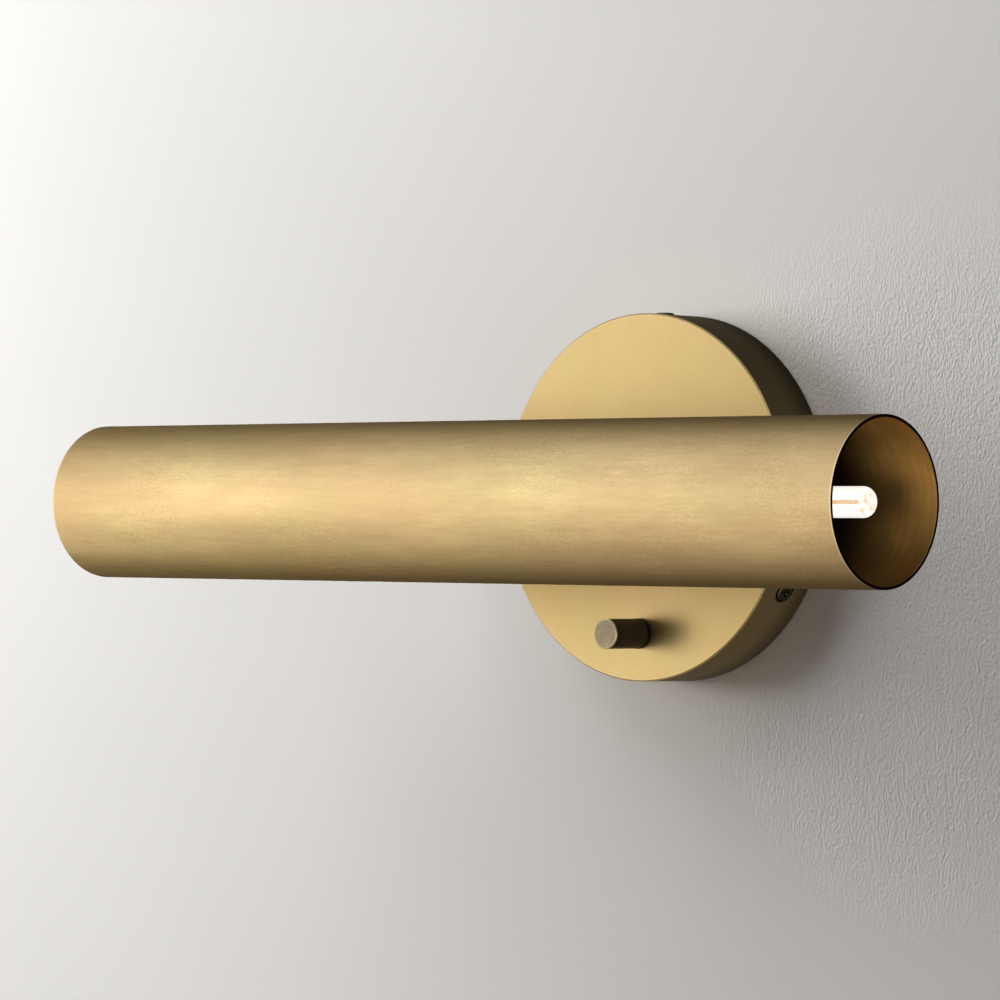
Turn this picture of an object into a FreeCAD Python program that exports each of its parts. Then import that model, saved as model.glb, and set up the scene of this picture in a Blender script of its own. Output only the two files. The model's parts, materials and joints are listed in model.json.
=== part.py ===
"""Tube wall light: an open-ended brass tube shade held off a round canopy by a hidden arm.

Sizes are in millimetres. The origin is the centre of the wall plane behind the canopy.
+Z points up, +X points right for someone facing the wall, and the light stands out towards -Y.
Each function makes one sub-part, where it sits in the whole light.
"""
import FreeCAD, Part
import math
import os

V = FreeCAD.Vector

# ---------------------------------------------------------------- driving dimensions
# canopy: the round cup against the wall
canopy_diameter = 150.0
canopy_depth = 27.5
canopy_wall = 1.5
canopy_edge = 0.6

# shade: the long open tube
shade_diameter = 63.5
shade_wall = 1.2
shade_length = 413.0
shade_reach = 131.0            # from the wall to the tube's axis
shade_drop = 3.7               # the tube's axis and the arm lie this far below the canopy's centre
shade_end_chamfer = 0.25

# arm: a sleeve over a hollow threaded rod that clamps the shade to the canopy
arm_diameter = 18.0
nipple_diameter = 10.0
nipple_bore = 7.0
nut_across_flats = 14.0
nut_thickness = 4.0
nut_chamfer = 0.6
nipple_overhang = 1.5          # thread showing past each nut
nipple_chamfer = 0.5
washer_diameter = 20.0
front_washer_diameter = 16.0
washer_thickness = 1.5
earth_tag_thickness = 0.8
earth_tag_margin = 1.0         # ring showing outside the nut's flats
earth_tag_tail_width = 4.0
saddle_diameter = 20.0
saddle_thickness = 5.5
bolt_clearance = 0.2           # all round a thread that passes through a hole
coped_gap = 0.05               # between a coped face and the tube that it fits
cut_past = 1.0                 # how far a cut runs past the faces that it opens

# mounting plate: the steel disc that is screwed to the wall box
plate_margin = 3.5             # disc to the canopy's inner wall
plate_thickness = 2.0
wire_hole_diameter = 30.0
box_screw_spacing = 88.9
box_screw_hole = 5.0
tab_width = 14.0
tab_height = 21.0
tab_thickness = 2.0
tab_bend_radius = 1.0
tab_clearance = 0.3            # tab to the canopy's inner wall
tab_angles = (90.0, 210.0, 330.0)

# canopy screws: pan heads in shallow round seats in the canopy's rim
rim_screw_diameter = 4.0
rim_screw_length = 10.0
rim_screw_head = 8.0
rim_screw_head_height = 1.5
rim_screw_seat = 10.0
rim_screw_seat_depth = 0.8
rim_screw_setback = 13.75      # from the wall to the screws' axes
tapped_clearance = 0.05        # between a screw and the hole it is driven into
recess_share = 0.58            # cross recess across its head
recess_slot = 0.9
recess_depth = 1.1
recess_core_share = 2.2        # mouth of the recess's cone, in slots
recess_depth_limit = 0.7       # deepest recess, in head heights
head_round_share = 0.6         # round of a head's top edge, in head heights
tip_chamfer_share = 0.12       # chamfer of a screw's tip, in shank diameters
tip_shortfall = 0.2            # screw tip behind the face that it comes through

# earth bonding, on the plate's front face
earth_screw_diameter = 4.0
earth_screw_head = 8.0
earth_screw_head_height = 2.4
earth_screw_x = 40.0
earth_screw_z = -32.0
earth_lug_thickness = 0.8
earth_lug_diameter = 9.0
earth_barrel_length = 8.0
earth_barrel_diameter = 3.8
earth_barrel_lift = 0.1        # barrel clear of the plate
earth_tag_barrel_start = 10.0  # from the arm's axis
earth_tag_barrel_length = 6.0
earth_tag_tail_overlap = 2.0   # tail inside its barrel
crimp_depth = 2.0              # closed end of a crimped barrel

# knob and dimmer
knob_diameter = 12.4
knob_length = 20.5
knob_gap = 0.5                 # canopy face to the knob's back
knob_inset = 19.5              # knob's axis to the canopy's edge
knob_edge = 0.5
knob_front_wall = 4.0
knob_skirt = 0.6               # wall round the hollow in the knob's back
knob_hollow_depth = 3.2
dimmer_shaft_diameter = 6.0
shaft_seat_clearance = 0.02
shaft_running_clearance = 0.05
dimmer_shaft_chamfer = 0.4
dimmer_bush_diameter = 7.4
dimmer_bush_collar = 10.4
dimmer_washer_thickness = 0.45
dimmer_nut_thickness = 1.8
dimmer_nut_clearance = 0.5     # ring nut to the knob's skirt
dimmer_nut_slot_width = 1.2
dimmer_nut_slot_depth = 0.8
dimmer_width = 28.0
dimmer_height = 22.0
dimmer_depth = 14.0
dimmer_wall = 1.5
dimmer_corner = 2.0
dimmer_plate_thickness = 1.2
rotor_diameter = 17.0
rotor_thickness = 2.0
moving_gap = 0.4               # between pieces that turn past each other
dimmer_board_thickness = 1.6
dimmer_lead_offset = 9.0       # lead entries, either side of the shaft
dimmer_lead_inset = 0.4        # lead to the case's back wall
grub_diameter = 3.0
grub_length = 2.6
grub_setback = 9.0             # from the knob's front face

# lamp and lampholder, one at each end of the tube
lamp_inset = 6.4               # lamp tip inside the tube's end
lamp_diameter = 11.5
lamp_glass_wall = 0.8
lamp_glass_length = 36.0
lamp_tip_radius = 3.75
lamp_spigot_length = 2.0
lamp_fit = 0.1                 # spigot to glass
lamp_collar_diameter = 12.2
lamp_collar_length = 3.0
lamp_base_width = 14.0
lamp_base_thickness = 5.0
lamp_base_length = 15.5        # from the glass to the back of the base
lamp_base_insertion = 5.5
lamp_base_corner = 0.8
pin_diameter = 1.2
pin_length = 7.0
pin_spacing = 9.0
filament_diameter = 1.6
filament_length = 22.0
filament_tip_gap = 5.0
lead_wire_diameter = 0.6
lead_wire_offset = 3.0         # return wire below the lamp's axis
lead_wire_overhang = 1.0       # return wire's bridge past the filament
holder_width = 22.0
holder_depth = 18.0
holder_length = 24.0
holder_edge = 2.0
socket_clearance = 0.5         # lamp base to the socket's walls and floor
pin_hole_clearance = 0.3
pin_guide_length = 2.0
contact_diameter = 3.4
contact_length = 10.0
contact_clearance = 0.1
contact_floor = 2.0            # closed end of a contact

# bracket: a strip along the tube with a bent tab behind each lampholder
strip_width = 20.0
strip_thickness = 1.5
strip_bend_radius = 2.0
holder_tab_overhang = 9.5      # past the lamp's axis
holder_screw_diameter = 3.0
holder_screw_length = 9.0
holder_screw_head = 5.6
holder_screw_head_height = 2.0
holder_screw_offset = 5.5      # from the lamp's axis, along Y
lead_window_width = 13.0
lead_window_height = 5.0

# wiring
lead_diameter = 2.2
lead_pitch = 2.7               # between neighbouring leads in the arm
lead_bend_radius = 9.0
shade_bend_radius = 13.0
lead_straight = 1.2            # straight length past the end of the arm before a bend
lead_slack_bend = 4.0          # bend radius of a gentle bend, in lead diameters
lead_grip = 7.0                # lead inside the terminal
lead_tip_gap = 3.0             # between lead ends that meet in one way of the terminal
lead_tight_bend = 3.2
earth_lead_bend = 3.2          # bend radius of the earth lead, in lead diameters
earth_lead_straight = 3.5      # straight length outside each barrel
wire_hole_margin = 6.0         # leads beside the wire hole
dimmer_lead_rise = 9.0         # straight length above the dimmer's case
return_lead_margin = 9.0       # beside the terminal block
return_lead_rise = 14.0        # above the terminal block
lead_jog_start = 3.5           # below the terminal, where a lead bends towards the arm
lead_jog_end = 13.5
lead_spread_start = 34.0       # from the lampholder's back, where a lead bends to its contact
lead_spread_end = 12.0
terminal_pitch = 8.0
terminal_height = 17.0
terminal_depth = 12.0
terminal_bore = 5.4
terminal_bottom = 26.0         # above the canopy's centre
terminal_screw_diameter = 3.4
terminal_screw_length = 4.0
terminal_screw_rise = 1.2      # screw showing outside its bore's top
terminal_screw_place = 0.22    # screws from each face, in terminal heights
terminal_slot_width = 0.6
terminal_slot_depth = 0.5
terminal_notch_width = 1.2     # notches between the ways
terminal_notch_depth = 3.0
terminal_web = 3.0             # left behind the notches
terminal_fixing_diameter = 3.0
terminal_fixing_head = 5.5
terminal_fixing_head_height = 2.0
terminal_fixing_seat = 3.0     # screw seat below the terminal's front face

# ---------------------------------------------------------------- places worked out from them
canopy_radius = canopy_diameter / 2
canopy_inner_radius = canopy_radius - canopy_wall
canopy_front = -canopy_depth
canopy_inside = canopy_front + canopy_wall
plate_front = -plate_thickness
plate_radius = canopy_inner_radius - plate_margin

shade_radius = shade_diameter / 2
shade_inner_radius = shade_radius - shade_wall
axis_y = -shade_reach
axis_z = -shade_drop
shade_end = shade_length / 2

nipple_hole = nipple_diameter / 2 + bolt_clearance
rear_washer_back = canopy_inside + washer_thickness
earth_tag_back = rear_washer_back + earth_tag_thickness
rear_nut_back = earth_tag_back + nut_thickness
nipple_back = rear_nut_back + nipple_overhang
saddle_back = axis_y + shade_inner_radius
saddle_front = saddle_back - saddle_thickness
strip_front = saddle_front - strip_thickness
front_washer_front = strip_front - washer_thickness
front_nut_front = front_washer_front - nut_thickness
nipple_front = front_nut_front - nipple_overhang

tab_plane = math.sqrt((canopy_inner_radius - tab_clearance) ** 2 - (tab_width / 2) ** 2)
rim_seat_radius = canopy_radius - rim_screw_seat_depth

knob_z = knob_inset - canopy_radius
knob_back = canopy_front - knob_gap
knob_front = knob_back - knob_length
shaft_front = knob_front + knob_front_wall
shaft_radius = dimmer_shaft_diameter / 2
bush_radius = dimmer_bush_diameter / 2
dimmer_nut_back = canopy_front - dimmer_washer_thickness
dimmer_nut_front = dimmer_nut_back - dimmer_nut_thickness
knob_hollow_radius = knob_diameter / 2 - knob_skirt
dimmer_nut_radius = knob_hollow_radius - dimmer_nut_clearance
bush_front = dimmer_nut_front
dimmer_front = canopy_inside
dimmer_plate_back = dimmer_front + dimmer_plate_thickness
dimmer_back = dimmer_front + dimmer_depth
rotor_front = dimmer_plate_back + moving_gap
rotor_back = rotor_front + rotor_thickness
dimmer_board_front = rotor_back + moving_gap
dimmer_board_back = dimmer_board_front + dimmer_board_thickness

dimmer_lead_y = dimmer_back - dimmer_wall - lead_diameter / 2 - dimmer_lead_inset

lamp_tip = shade_end - lamp_inset
lamp_glass_back = lamp_tip - lamp_glass_length
lamp_base_back = lamp_glass_back - lamp_base_length
holder_front = lamp_base_back + lamp_base_insertion
holder_back = holder_front - holder_length
socket_floor = lamp_base_back - socket_clearance
contact_front = socket_floor - pin_guide_length
contact_back = contact_front - contact_length
contact_hole = contact_diameter / 2 + contact_clearance
holder_tab_end = axis_y - holder_tab_overhang
holder_screw_hole = holder_screw_diameter / 2 + tapped_clearance

rear_lead_plane = nipple_back + lead_straight + lead_bend_radius
terminal_y = rear_lead_plane + lead_pitch / 2
terminal_top = terminal_bottom + terminal_height

ALONG_X = V(1, 0, 0)
ALONG_Y = V(0, 1, 0)
ALONG_Z = V(0, 0, 1)


# ---------------------------------------------------------------- shape helpers
def rod_y(radius, y0, y1, x=0.0, z=0.0):
    """A cylinder along Y between two planes."""
    low = min(y0, y1)
    return Part.makeCylinder(radius, abs(y1 - y0), V(x, low, z), ALONG_Y)


def rod_x(radius, x0, x1, y=0.0, z=0.0):
    """A cylinder along X between two planes."""
    low = min(x0, x1)
    return Part.makeCylinder(radius, abs(x1 - x0), V(low, y, z), ALONG_X)


def rod_z(radius, z0, z1, x=0.0, y=0.0):
    """A cylinder along Z between two planes."""
    low = min(z0, z1)
    return Part.makeCylinder(radius, abs(z1 - z0), V(x, y, low), ALONG_Z)


def block(x0, x1, y0, y1, z0, z1):
    """A box between two corners."""
    corner = V(min(x0, x1), min(y0, y1), min(z0, z1))
    return Part.makeBox(abs(x1 - x0), abs(y1 - y0), abs(z1 - z0), corner)


def ring_y(outer, inner, y0, y1, x=0.0, z=0.0):
    """A washer along Y."""
    return rod_y(outer, y0, y1, x, z).cut(rod_y(inner, y0, y1, x, z))


def edges_where(shape, test):
    """The edges whose bounding box passes a test."""
    return [edge for edge in shape.Edges if test(edge.BoundBox)]


def near(a, b):
    return abs(a - b) < 1e-4


def chamfer_plane(shape, axis, place, size, radius=None):
    """Chamfer the round edges that lie in one plane square to an axis."""
    low = axis + "Min"
    high = axis + "Max"
    across = {"X": "YLength", "Y": "XLength", "Z": "XLength"}[axis]

    def chosen(box):
        flat = near(getattr(box, low), place) and near(getattr(box, high), place)
        wide = radius is None or abs(getattr(box, across) - 2 * radius) < 1e-3
        return flat and wide

    return shape.makeChamfer(size, edges_where(shape, chosen))


def hex_nut_y(flats, bore, y0, y1, x=0.0, z=0.0):
    """A hexagon nut along Y with its corners eased on both faces."""
    corner = flats / 2 / math.cos(math.pi / 6)
    low = min(y0, y1)
    points = []
    for i in range(7):
        turn = math.radians(60 * i)
        points.append(V(x + corner * math.cos(turn), low, z + corner * math.sin(turn)))
    body = Part.Face(Part.makePolygon(points)).extrude(V(0, abs(y1 - y0), 0))
    blank = rod_y(corner, y0, y1, x, z)
    blank = blank.makeChamfer(nut_chamfer, edges_where(blank, lambda b: near(b.YLength, 0)))
    return body.common(blank).cut(rod_y(bore, y0, y1, x, z))


def cross_recess(diameter, depth):
    """A cross-shaped recess, pointing down from z = 0."""
    arm = diameter * recess_share / 2
    slot = recess_slot / 2
    one = block(-arm, arm, -slot, slot, -depth, depth)
    two = block(-slot, slot, -arm, arm, -depth, depth)
    core = Part.makeCone(slot, slot * recess_core_share, depth, V(0, 0, -depth))
    return one.fuse([two, core])


def pan_screw(shank, length, head, head_height, recess=True):
    """A pan head screw: head from z = 0 up, shank from z = 0 down."""
    crown = Part.makeCylinder(head / 2, head_height)
    top_edge = edges_where(crown, lambda b: near(b.ZMin, head_height))
    crown = crown.makeFillet(head_height * head_round_share, top_edge)
    tip = Part.makeCylinder(shank / 2, length, V(0, 0, -length))
    tip_edge = edges_where(tip, lambda b: near(b.ZMax, -length))
    tip = tip.makeChamfer(shank * tip_chamfer_share, tip_edge)
    screw = crown.fuse(tip).removeSplitter()
    if recess:
        cutter = cross_recess(head, min(recess_depth, head_height * recess_depth_limit))
        cutter.translate(V(0, 0, head_height))
        screw = screw.cut(cutter)
    return screw


def aim(shape, place, direction):
    """Turn a shape from +Z to a direction and put its origin at a place."""
    shape.Placement = FreeCAD.Placement(place, FreeCAD.Rotation(ALONG_Z, direction))
    return shape


def rim_direction(angle):
    return V(math.cos(math.radians(angle)), 0, math.sin(math.radians(angle)))


def route(points, radii, diameter):
    """A round lead along straight runs joined by tangent arcs."""
    start = points[0]
    edges = []
    for i in range(1, len(points) - 1):
        into = (points[i] - points[i - 1]).normalize()
        out = (points[i + 1] - points[i]).normalize()
        turn = into.getAngle(out)
        setback = radii[i - 1] * math.tan(turn / 2)
        arc_start = points[i] - into * setback
        arc_end = points[i] + out * setback
        toward = (out - into).normalize()
        middle = points[i] + toward * (radii[i - 1] / math.cos(turn / 2) - radii[i - 1])
        if (arc_start - start).Length > 1e-6:
            edges.append(Part.LineSegment(start, arc_start).toShape())
        edges.append(Part.Arc(arc_start, middle, arc_end).toShape())
        start = arc_end
    edges.append(Part.LineSegment(start, points[-1]).toShape())
    wire = Part.Wire(edges)
    length = wire.Length
    heading = (points[1] - points[0]).normalize()
    section = Part.Wire(Part.makeCircle(diameter / 2, points[0], heading))
    lead = wire.makePipeShell([section], True, False)
    expected = math.pi * (diameter / 2) ** 2 * length
    print("  lead %.1f mm long, least bend %.1f mm, volume ratio %.4f"
          % (length, min(radii), lead.Volume / expected))
    return lead


# ---------------------------------------------------------------- wall side
def make_mounting_plate():
    """Steel disc with a wire hole, two wall box screw holes and three forward tabs."""
    plate = rod_y(plate_radius, 0, plate_front)
    for angle in tab_angles:
        plate = plate.fuse(make_plate_tab(angle))
    plate = plate.removeSplitter()
    front = plate_front - cut_past
    plate = plate.cut(rod_y(wire_hole_diameter / 2, cut_past, front))
    for side in (-1, 1):
        place = side * box_screw_spacing / 2
        plate = plate.cut(rod_y(box_screw_hole / 2, cut_past, front, place, 0))
    for angle in tab_angles:
        direction = rim_direction(angle)
        start = direction * (tab_plane - 2 * tab_thickness) + V(0, -rim_screw_setback, 0)
        radius = rim_screw_diameter / 2 + tapped_clearance
        plate = plate.cut(Part.makeCylinder(radius, 4 * tab_thickness, start, direction))
    hole = terminal_fixing_diameter / 2 + tapped_clearance
    plate = plate.cut(rod_y(hole, cut_past, front, terminal_pitch / 2, terminal_middle()))
    hole = earth_screw_diameter / 2 + tapped_clearance
    return plate.cut(rod_y(hole, cut_past, front, earth_screw_x, earth_screw_z))


def make_plate_tab(angle):
    """One tab: a foot in the disc, a bend and an upright with a tapped hole."""
    foot = plate_radius - 2 * tab_width / 3
    outline = [
        V(foot, 0, 0),
        V(tab_plane, 0, 0),
        V(tab_plane, -tab_height, 0),
        V(tab_plane - tab_thickness, -tab_height, 0),
        V(tab_plane - tab_thickness, plate_front, 0),
        V(foot, plate_front, 0),
        V(foot, 0, 0),
    ]
    tab = Part.Face(Part.makePolygon(outline)).extrude(V(0, 0, tab_width))
    tab.translate(V(0, 0, -tab_width / 2))

    def along_z(x, y):
        def chosen(box):
            return near(box.XMin, x) and near(box.XMax, x) and near(box.YMin, y) and near(box.YMax, y)

        return edges_where(tab, chosen)

    outer = along_z(tab_plane, 0)
    tab = tab.makeFillet(tab_bend_radius + tab_thickness, outer)
    tab = tab.makeFillet(tab_bend_radius, along_z(tab_plane - tab_thickness, plate_front))
    corners = edges_where(tab, lambda b: near(b.YMax, -tab_height) and b.ZLength < 1e-4)
    tab = tab.makeFillet(tab_width / 4, corners)
    tab.rotate(V(0, 0, 0), ALONG_Y, -angle)
    return tab


def make_canopy():
    """Brass cup with holes for the arm and the dimmer and three screw seats in its rim."""
    canopy = rod_y(canopy_radius, 0, canopy_front)
    canopy = chamfer_plane(canopy, "Y", canopy_front, canopy_edge)
    canopy = canopy.cut(rod_y(canopy_inner_radius, cut_past, canopy_inside))
    back = canopy_inside + cut_past
    front = canopy_front - cut_past
    canopy = canopy.cut(rod_y(nipple_hole, back, front, 0, axis_z))
    dimmer_hole = bush_radius + bolt_clearance
    canopy = canopy.cut(rod_y(dimmer_hole, back, front, 0, knob_z))
    for angle in tab_angles:
        direction = rim_direction(angle)
        setback = V(0, -rim_screw_setback, 0)
        hole = rim_screw_diameter / 2 + bolt_clearance
        inner = direction * (canopy_inner_radius - 2 * canopy_wall) + setback
        canopy = canopy.cut(Part.makeCylinder(hole, 4 * canopy_wall, inner, direction))
        seat = direction * rim_seat_radius + setback
        canopy = canopy.cut(Part.makeCylinder(rim_screw_seat / 2, canopy_wall, seat, direction))
    return canopy


def make_canopy_screws():
    """Three pan head screws that hold the canopy on the plate's tabs."""
    screws = []
    head = (rim_screw_head, rim_screw_head_height)
    for angle in tab_angles:
        direction = rim_direction(angle)
        screw = pan_screw(rim_screw_diameter, rim_screw_length, *head)
        screws.append(aim(screw, direction * rim_seat_radius + V(0, -rim_screw_setback, 0), direction))
    return Part.makeCompound(screws)


def earth_direction():
    """From the earth screw towards the arm, in the plane of the plate."""
    return (V(0, 0, axis_z) - V(earth_screw_x, 0, earth_screw_z)).normalize()


def earth_barrel_place():
    """A point on the lug's barrel axis, over the earth screw."""
    lift = earth_barrel_diameter / 2 + earth_barrel_lift
    return V(earth_screw_x, plate_front - lift, earth_screw_z)


def make_earth_lug():
    """Ring terminal under the earth screw, with a barrel for its lead."""
    back = plate_front
    front = back - earth_lug_thickness
    hole = earth_screw_diameter / 2 + bolt_clearance
    ring = rod_y(earth_lug_diameter / 2, back, front, earth_screw_x, earth_screw_z)
    heading = earth_direction()
    start = earth_barrel_place() + heading * (earth_screw_head / 2 + bolt_clearance)
    barrel = Part.makeCylinder(earth_barrel_diameter / 2, earth_barrel_length, start, heading)
    depth = earth_barrel_length - crimp_depth
    bore = Part.makeCylinder(lead_diameter / 2, depth, start + heading * crimp_depth, heading)
    lug = ring.fuse(barrel).removeSplitter()
    screw_hole = rod_y(hole, back + cut_past, front - cut_past, earth_screw_x, earth_screw_z)
    return lug.cut(bore).cut(screw_hole)


def make_earth_screw():
    """Screw that clamps the earth lug to the plate."""
    seat = V(earth_screw_x, plate_front - earth_lug_thickness, earth_screw_z)
    length = plate_thickness + earth_lug_thickness - tip_shortfall
    screw = pan_screw(earth_screw_diameter, length, earth_screw_head, earth_screw_head_height)
    return aim(screw, seat, -ALONG_Y)


# ---------------------------------------------------------------- arm
def make_arm_sleeve():
    """Brass tube between the canopy and the shade, coped to the shade at its front."""
    sleeve = rod_y(arm_diameter / 2, canopy_front, axis_y, 0, axis_z)
    sleeve = sleeve.cut(rod_y(nipple_hole, canopy_front + cut_past, axis_y - cut_past, 0, axis_z))
    reach = 2 * arm_diameter
    return sleeve.cut(rod_x(shade_radius + coped_gap, -reach, reach, axis_y, axis_z))


def make_arm_nipple():
    """Hollow threaded rod through canopy, sleeve, shade, saddle and strip."""
    rod = ring_y(nipple_diameter / 2, nipple_bore / 2, nipple_back, nipple_front, 0, axis_z)
    for end in (nipple_back, nipple_front):
        rod = chamfer_plane(rod, "Y", end, nipple_chamfer, nipple_diameter / 2)
    return rod


def make_arm_rear_washer():
    return ring_y(washer_diameter / 2, nipple_hole, canopy_inside, rear_washer_back, 0, axis_z)


def earth_tag_place():
    """A point on the tag's barrel axis, over the arm's axis."""
    return V(0, earth_tag_back + earth_barrel_diameter / 2 - earth_tag_thickness / 2, axis_z)


def make_arm_earth_tag():
    """Ring tag on the arm with a tail and a barrel that its lead is crimped in."""
    ring_radius = nut_across_flats / 2 + earth_tag_margin
    ring = ring_y(ring_radius, nipple_hole, rear_washer_back, earth_tag_back, 0, axis_z)
    heading = -earth_direction()
    half_width = earth_tag_tail_width / 2
    tail = block(ring_radius - earth_tag_margin, earth_tag_barrel_start + earth_tag_tail_overlap,
                 rear_washer_back, earth_tag_back, -half_width, half_width)
    tail.rotate(V(0, 0, 0), ALONG_Y, -math.degrees(math.atan2(heading.z, heading.x)))
    tail.translate(V(0, 0, axis_z))
    start = earth_tag_place() + heading * earth_tag_barrel_start
    barrel = Part.makeCylinder(earth_barrel_diameter / 2, earth_tag_barrel_length, start, heading)
    depth = earth_tag_barrel_length - crimp_depth
    bore = Part.makeCylinder(lead_diameter / 2, depth, start + heading * crimp_depth, heading)
    return ring.fuse([tail, barrel]).removeSplitter().cut(bore)


def make_arm_rear_nut():
    bore = nipple_diameter / 2 + tapped_clearance
    return hex_nut_y(nut_across_flats, bore, earth_tag_back, rear_nut_back, 0, axis_z)


def make_arm_saddle():
    """Round block inside the tube, curved behind and flat in front, that spreads the clamping load."""
    saddle = rod_y(saddle_diameter / 2, saddle_back + shade_wall, saddle_front, 0, axis_z)
    reach = saddle_diameter
    bore = rod_x(shade_inner_radius - coped_gap, -reach, reach, axis_y, axis_z)
    hole = rod_y(nipple_hole, saddle_back + shade_wall + cut_past, saddle_front - cut_past, 0, axis_z)
    return saddle.common(bore).cut(hole)


def make_arm_front_washer():
    return ring_y(front_washer_diameter / 2, nipple_hole, strip_front, front_washer_front, 0, axis_z)


def make_arm_front_nut():
    bore = nipple_diameter / 2 + tapped_clearance
    return hex_nut_y(nut_across_flats, bore, front_washer_front, front_nut_front, 0, axis_z)


# ---------------------------------------------------------------- shade and bracket
def make_shade_tube():
    """Thin brass tube, open at both ends, with one hole behind for the arm."""
    tube = rod_x(shade_radius, -shade_end, shade_end, axis_y, axis_z)
    tube = chamfer_plane(tube, "X", shade_end, shade_end_chamfer)
    tube = chamfer_plane(tube, "X", -shade_end, shade_end_chamfer)
    bore_end = shade_end + cut_past
    tube = tube.cut(rod_x(shade_inner_radius, -bore_end, bore_end, axis_y, axis_z))
    return tube.cut(rod_y(nipple_hole, axis_y + shade_radius + cut_past, axis_y, 0, axis_z))


def make_lamp_bracket():
    """Steel strip along the inside of the tube, bent forward at each end behind a lampholder."""
    outer = holder_back
    inner = outer - strip_thickness
    outline = [
        V(-outer, saddle_front, 0), V(outer, saddle_front, 0), V(outer, holder_tab_end, 0),
        V(inner, holder_tab_end, 0), V(inner, strip_front, 0), V(-inner, strip_front, 0),
        V(-inner, holder_tab_end, 0), V(-outer, holder_tab_end, 0), V(-outer, saddle_front, 0),
    ]
    strip = Part.Face(Part.makePolygon(outline)).extrude(V(0, 0, strip_width))
    strip.translate(V(0, 0, axis_z - strip_width / 2))

    def bend_edges(x, y):
        return edges_where(strip, lambda b: near(abs(b.XMin), x) and near(b.XLength, 0)
                           and near(b.YMin, y) and near(b.YLength, 0))

    strip = strip.makeFillet(strip_bend_radius + strip_thickness, bend_edges(outer, saddle_front))
    strip = strip.makeFillet(strip_bend_radius, bend_edges(inner, strip_front))
    corners = edges_where(strip, lambda b: near(b.YMin, holder_tab_end) and near(b.YMax, holder_tab_end)
                          and b.ZLength < 1e-4)
    strip = strip.makeFillet(strip_width / 5, corners)
    strip = strip.cut(rod_y(nipple_hole, saddle_front + cut_past, strip_front - cut_past, 0, axis_z))
    for side in (-1, 1):
        high = side * (outer + cut_past)
        low = side * (inner - cut_past)
        window = block(low, high, axis_y - lead_window_height / 2, axis_y + lead_window_height / 2,
                       axis_z - lead_window_width / 2, axis_z + lead_window_width / 2)
        strip = strip.cut(window)
        for offset in (-holder_screw_offset, holder_screw_offset):
            hole = holder_screw_diameter / 2 + bolt_clearance
            strip = strip.cut(rod_x(hole, low, high, axis_y + offset, axis_z))
    return strip


# ---------------------------------------------------------------- lampholders and lamps
def mirrored(shape, side):
    """A piece made for the tube's right end: itself, or its mirror image for the left end."""
    if side > 0:
        return shape
    return shape.mirror(V(0, 0, 0), ALONG_X)


def make_lampholder():
    """Ceramic block with a socket for the lamp's base, two contact bores and two screw holes."""
    body = block(holder_back, holder_front, axis_y - holder_depth / 2, axis_y + holder_depth / 2,
                 axis_z - holder_width / 2, axis_z + holder_width / 2)
    long_edges = edges_where(body, lambda b: b.YLength < 1e-4 and b.ZLength < 1e-4)
    body = body.makeFillet(3 * holder_edge, long_edges)
    rim = edges_where(body, lambda b: near(b.XMin, holder_front) and near(b.XMax, holder_front))
    body = body.makeFillet(holder_edge / 2, rim)
    socket = block(socket_floor, holder_front + cut_past,
                   axis_y - lamp_base_thickness / 2 - socket_clearance,
                   axis_y + lamp_base_thickness / 2 + socket_clearance,
                   axis_z - lamp_base_width / 2 - socket_clearance,
                   axis_z + lamp_base_width / 2 + socket_clearance)
    body = body.cut(socket)
    pin_hole = pin_diameter / 2 + pin_hole_clearance
    behind = holder_back - cut_past
    screw_end = holder_back + holder_screw_length
    for side in (-1, 1):
        z = axis_z + side * pin_spacing / 2
        body = body.cut(rod_x(pin_hole, contact_front - cut_past, socket_floor + cut_past, axis_y, z))
        body = body.cut(rod_x(contact_hole, behind, contact_front, axis_y, z))
        y = axis_y + side * holder_screw_offset
        body = body.cut(rod_x(holder_screw_hole, behind, screw_end, y, axis_z))
    return body


def make_holder_contacts():
    """Two brass sleeves that grip the lamp's pins."""
    contacts = []
    pin_hole = pin_diameter / 2 + pin_hole_clearance
    for side in (-1, 1):
        z = axis_z + side * pin_spacing / 2
        sleeve = rod_x(contact_diameter / 2, contact_back, contact_front, axis_y, z)
        bore = rod_x(pin_hole, contact_back + contact_floor, contact_front + cut_past, axis_y, z)
        contacts.append(sleeve.cut(bore))
    return Part.makeCompound(contacts)


def make_holder_screws():
    """Two screws through the bracket's tab into the lampholder."""
    screws = []
    head = (holder_screw_head, holder_screw_head_height)
    for offset in (-holder_screw_offset, holder_screw_offset):
        screw = pan_screw(holder_screw_diameter, holder_screw_length, *head)
        seat = V(holder_back - strip_thickness, axis_y + offset, axis_z)
        screws.append(aim(screw, seat, -ALONG_X))
    return Part.makeCompound(screws)


def lamp_outline(radius, tip, corner, back):
    """A round-shouldered capsule, turned about the lamp's axis."""
    shoulder = V(tip - corner, radius, 0)
    diagonal = corner * math.sqrt(0.5)
    middle = V(tip - corner + diagonal, radius - corner + diagonal, 0)
    crown = V(tip, radius - corner, 0)
    edges = [
        Part.LineSegment(V(back, 0, 0), V(back, radius, 0)).toShape(),
        Part.LineSegment(V(back, radius, 0), shoulder).toShape(),
        Part.Arc(shoulder, middle, crown).toShape(),
        Part.LineSegment(crown, V(tip, 0, 0)).toShape(),
        Part.LineSegment(V(tip, 0, 0), V(back, 0, 0)).toShape(),
    ]
    solid = Part.Face(Part.Wire(edges)).revolve(V(0, 0, 0), ALONG_X, 360)
    solid.translate(V(0, axis_y, axis_z))
    return solid


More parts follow.
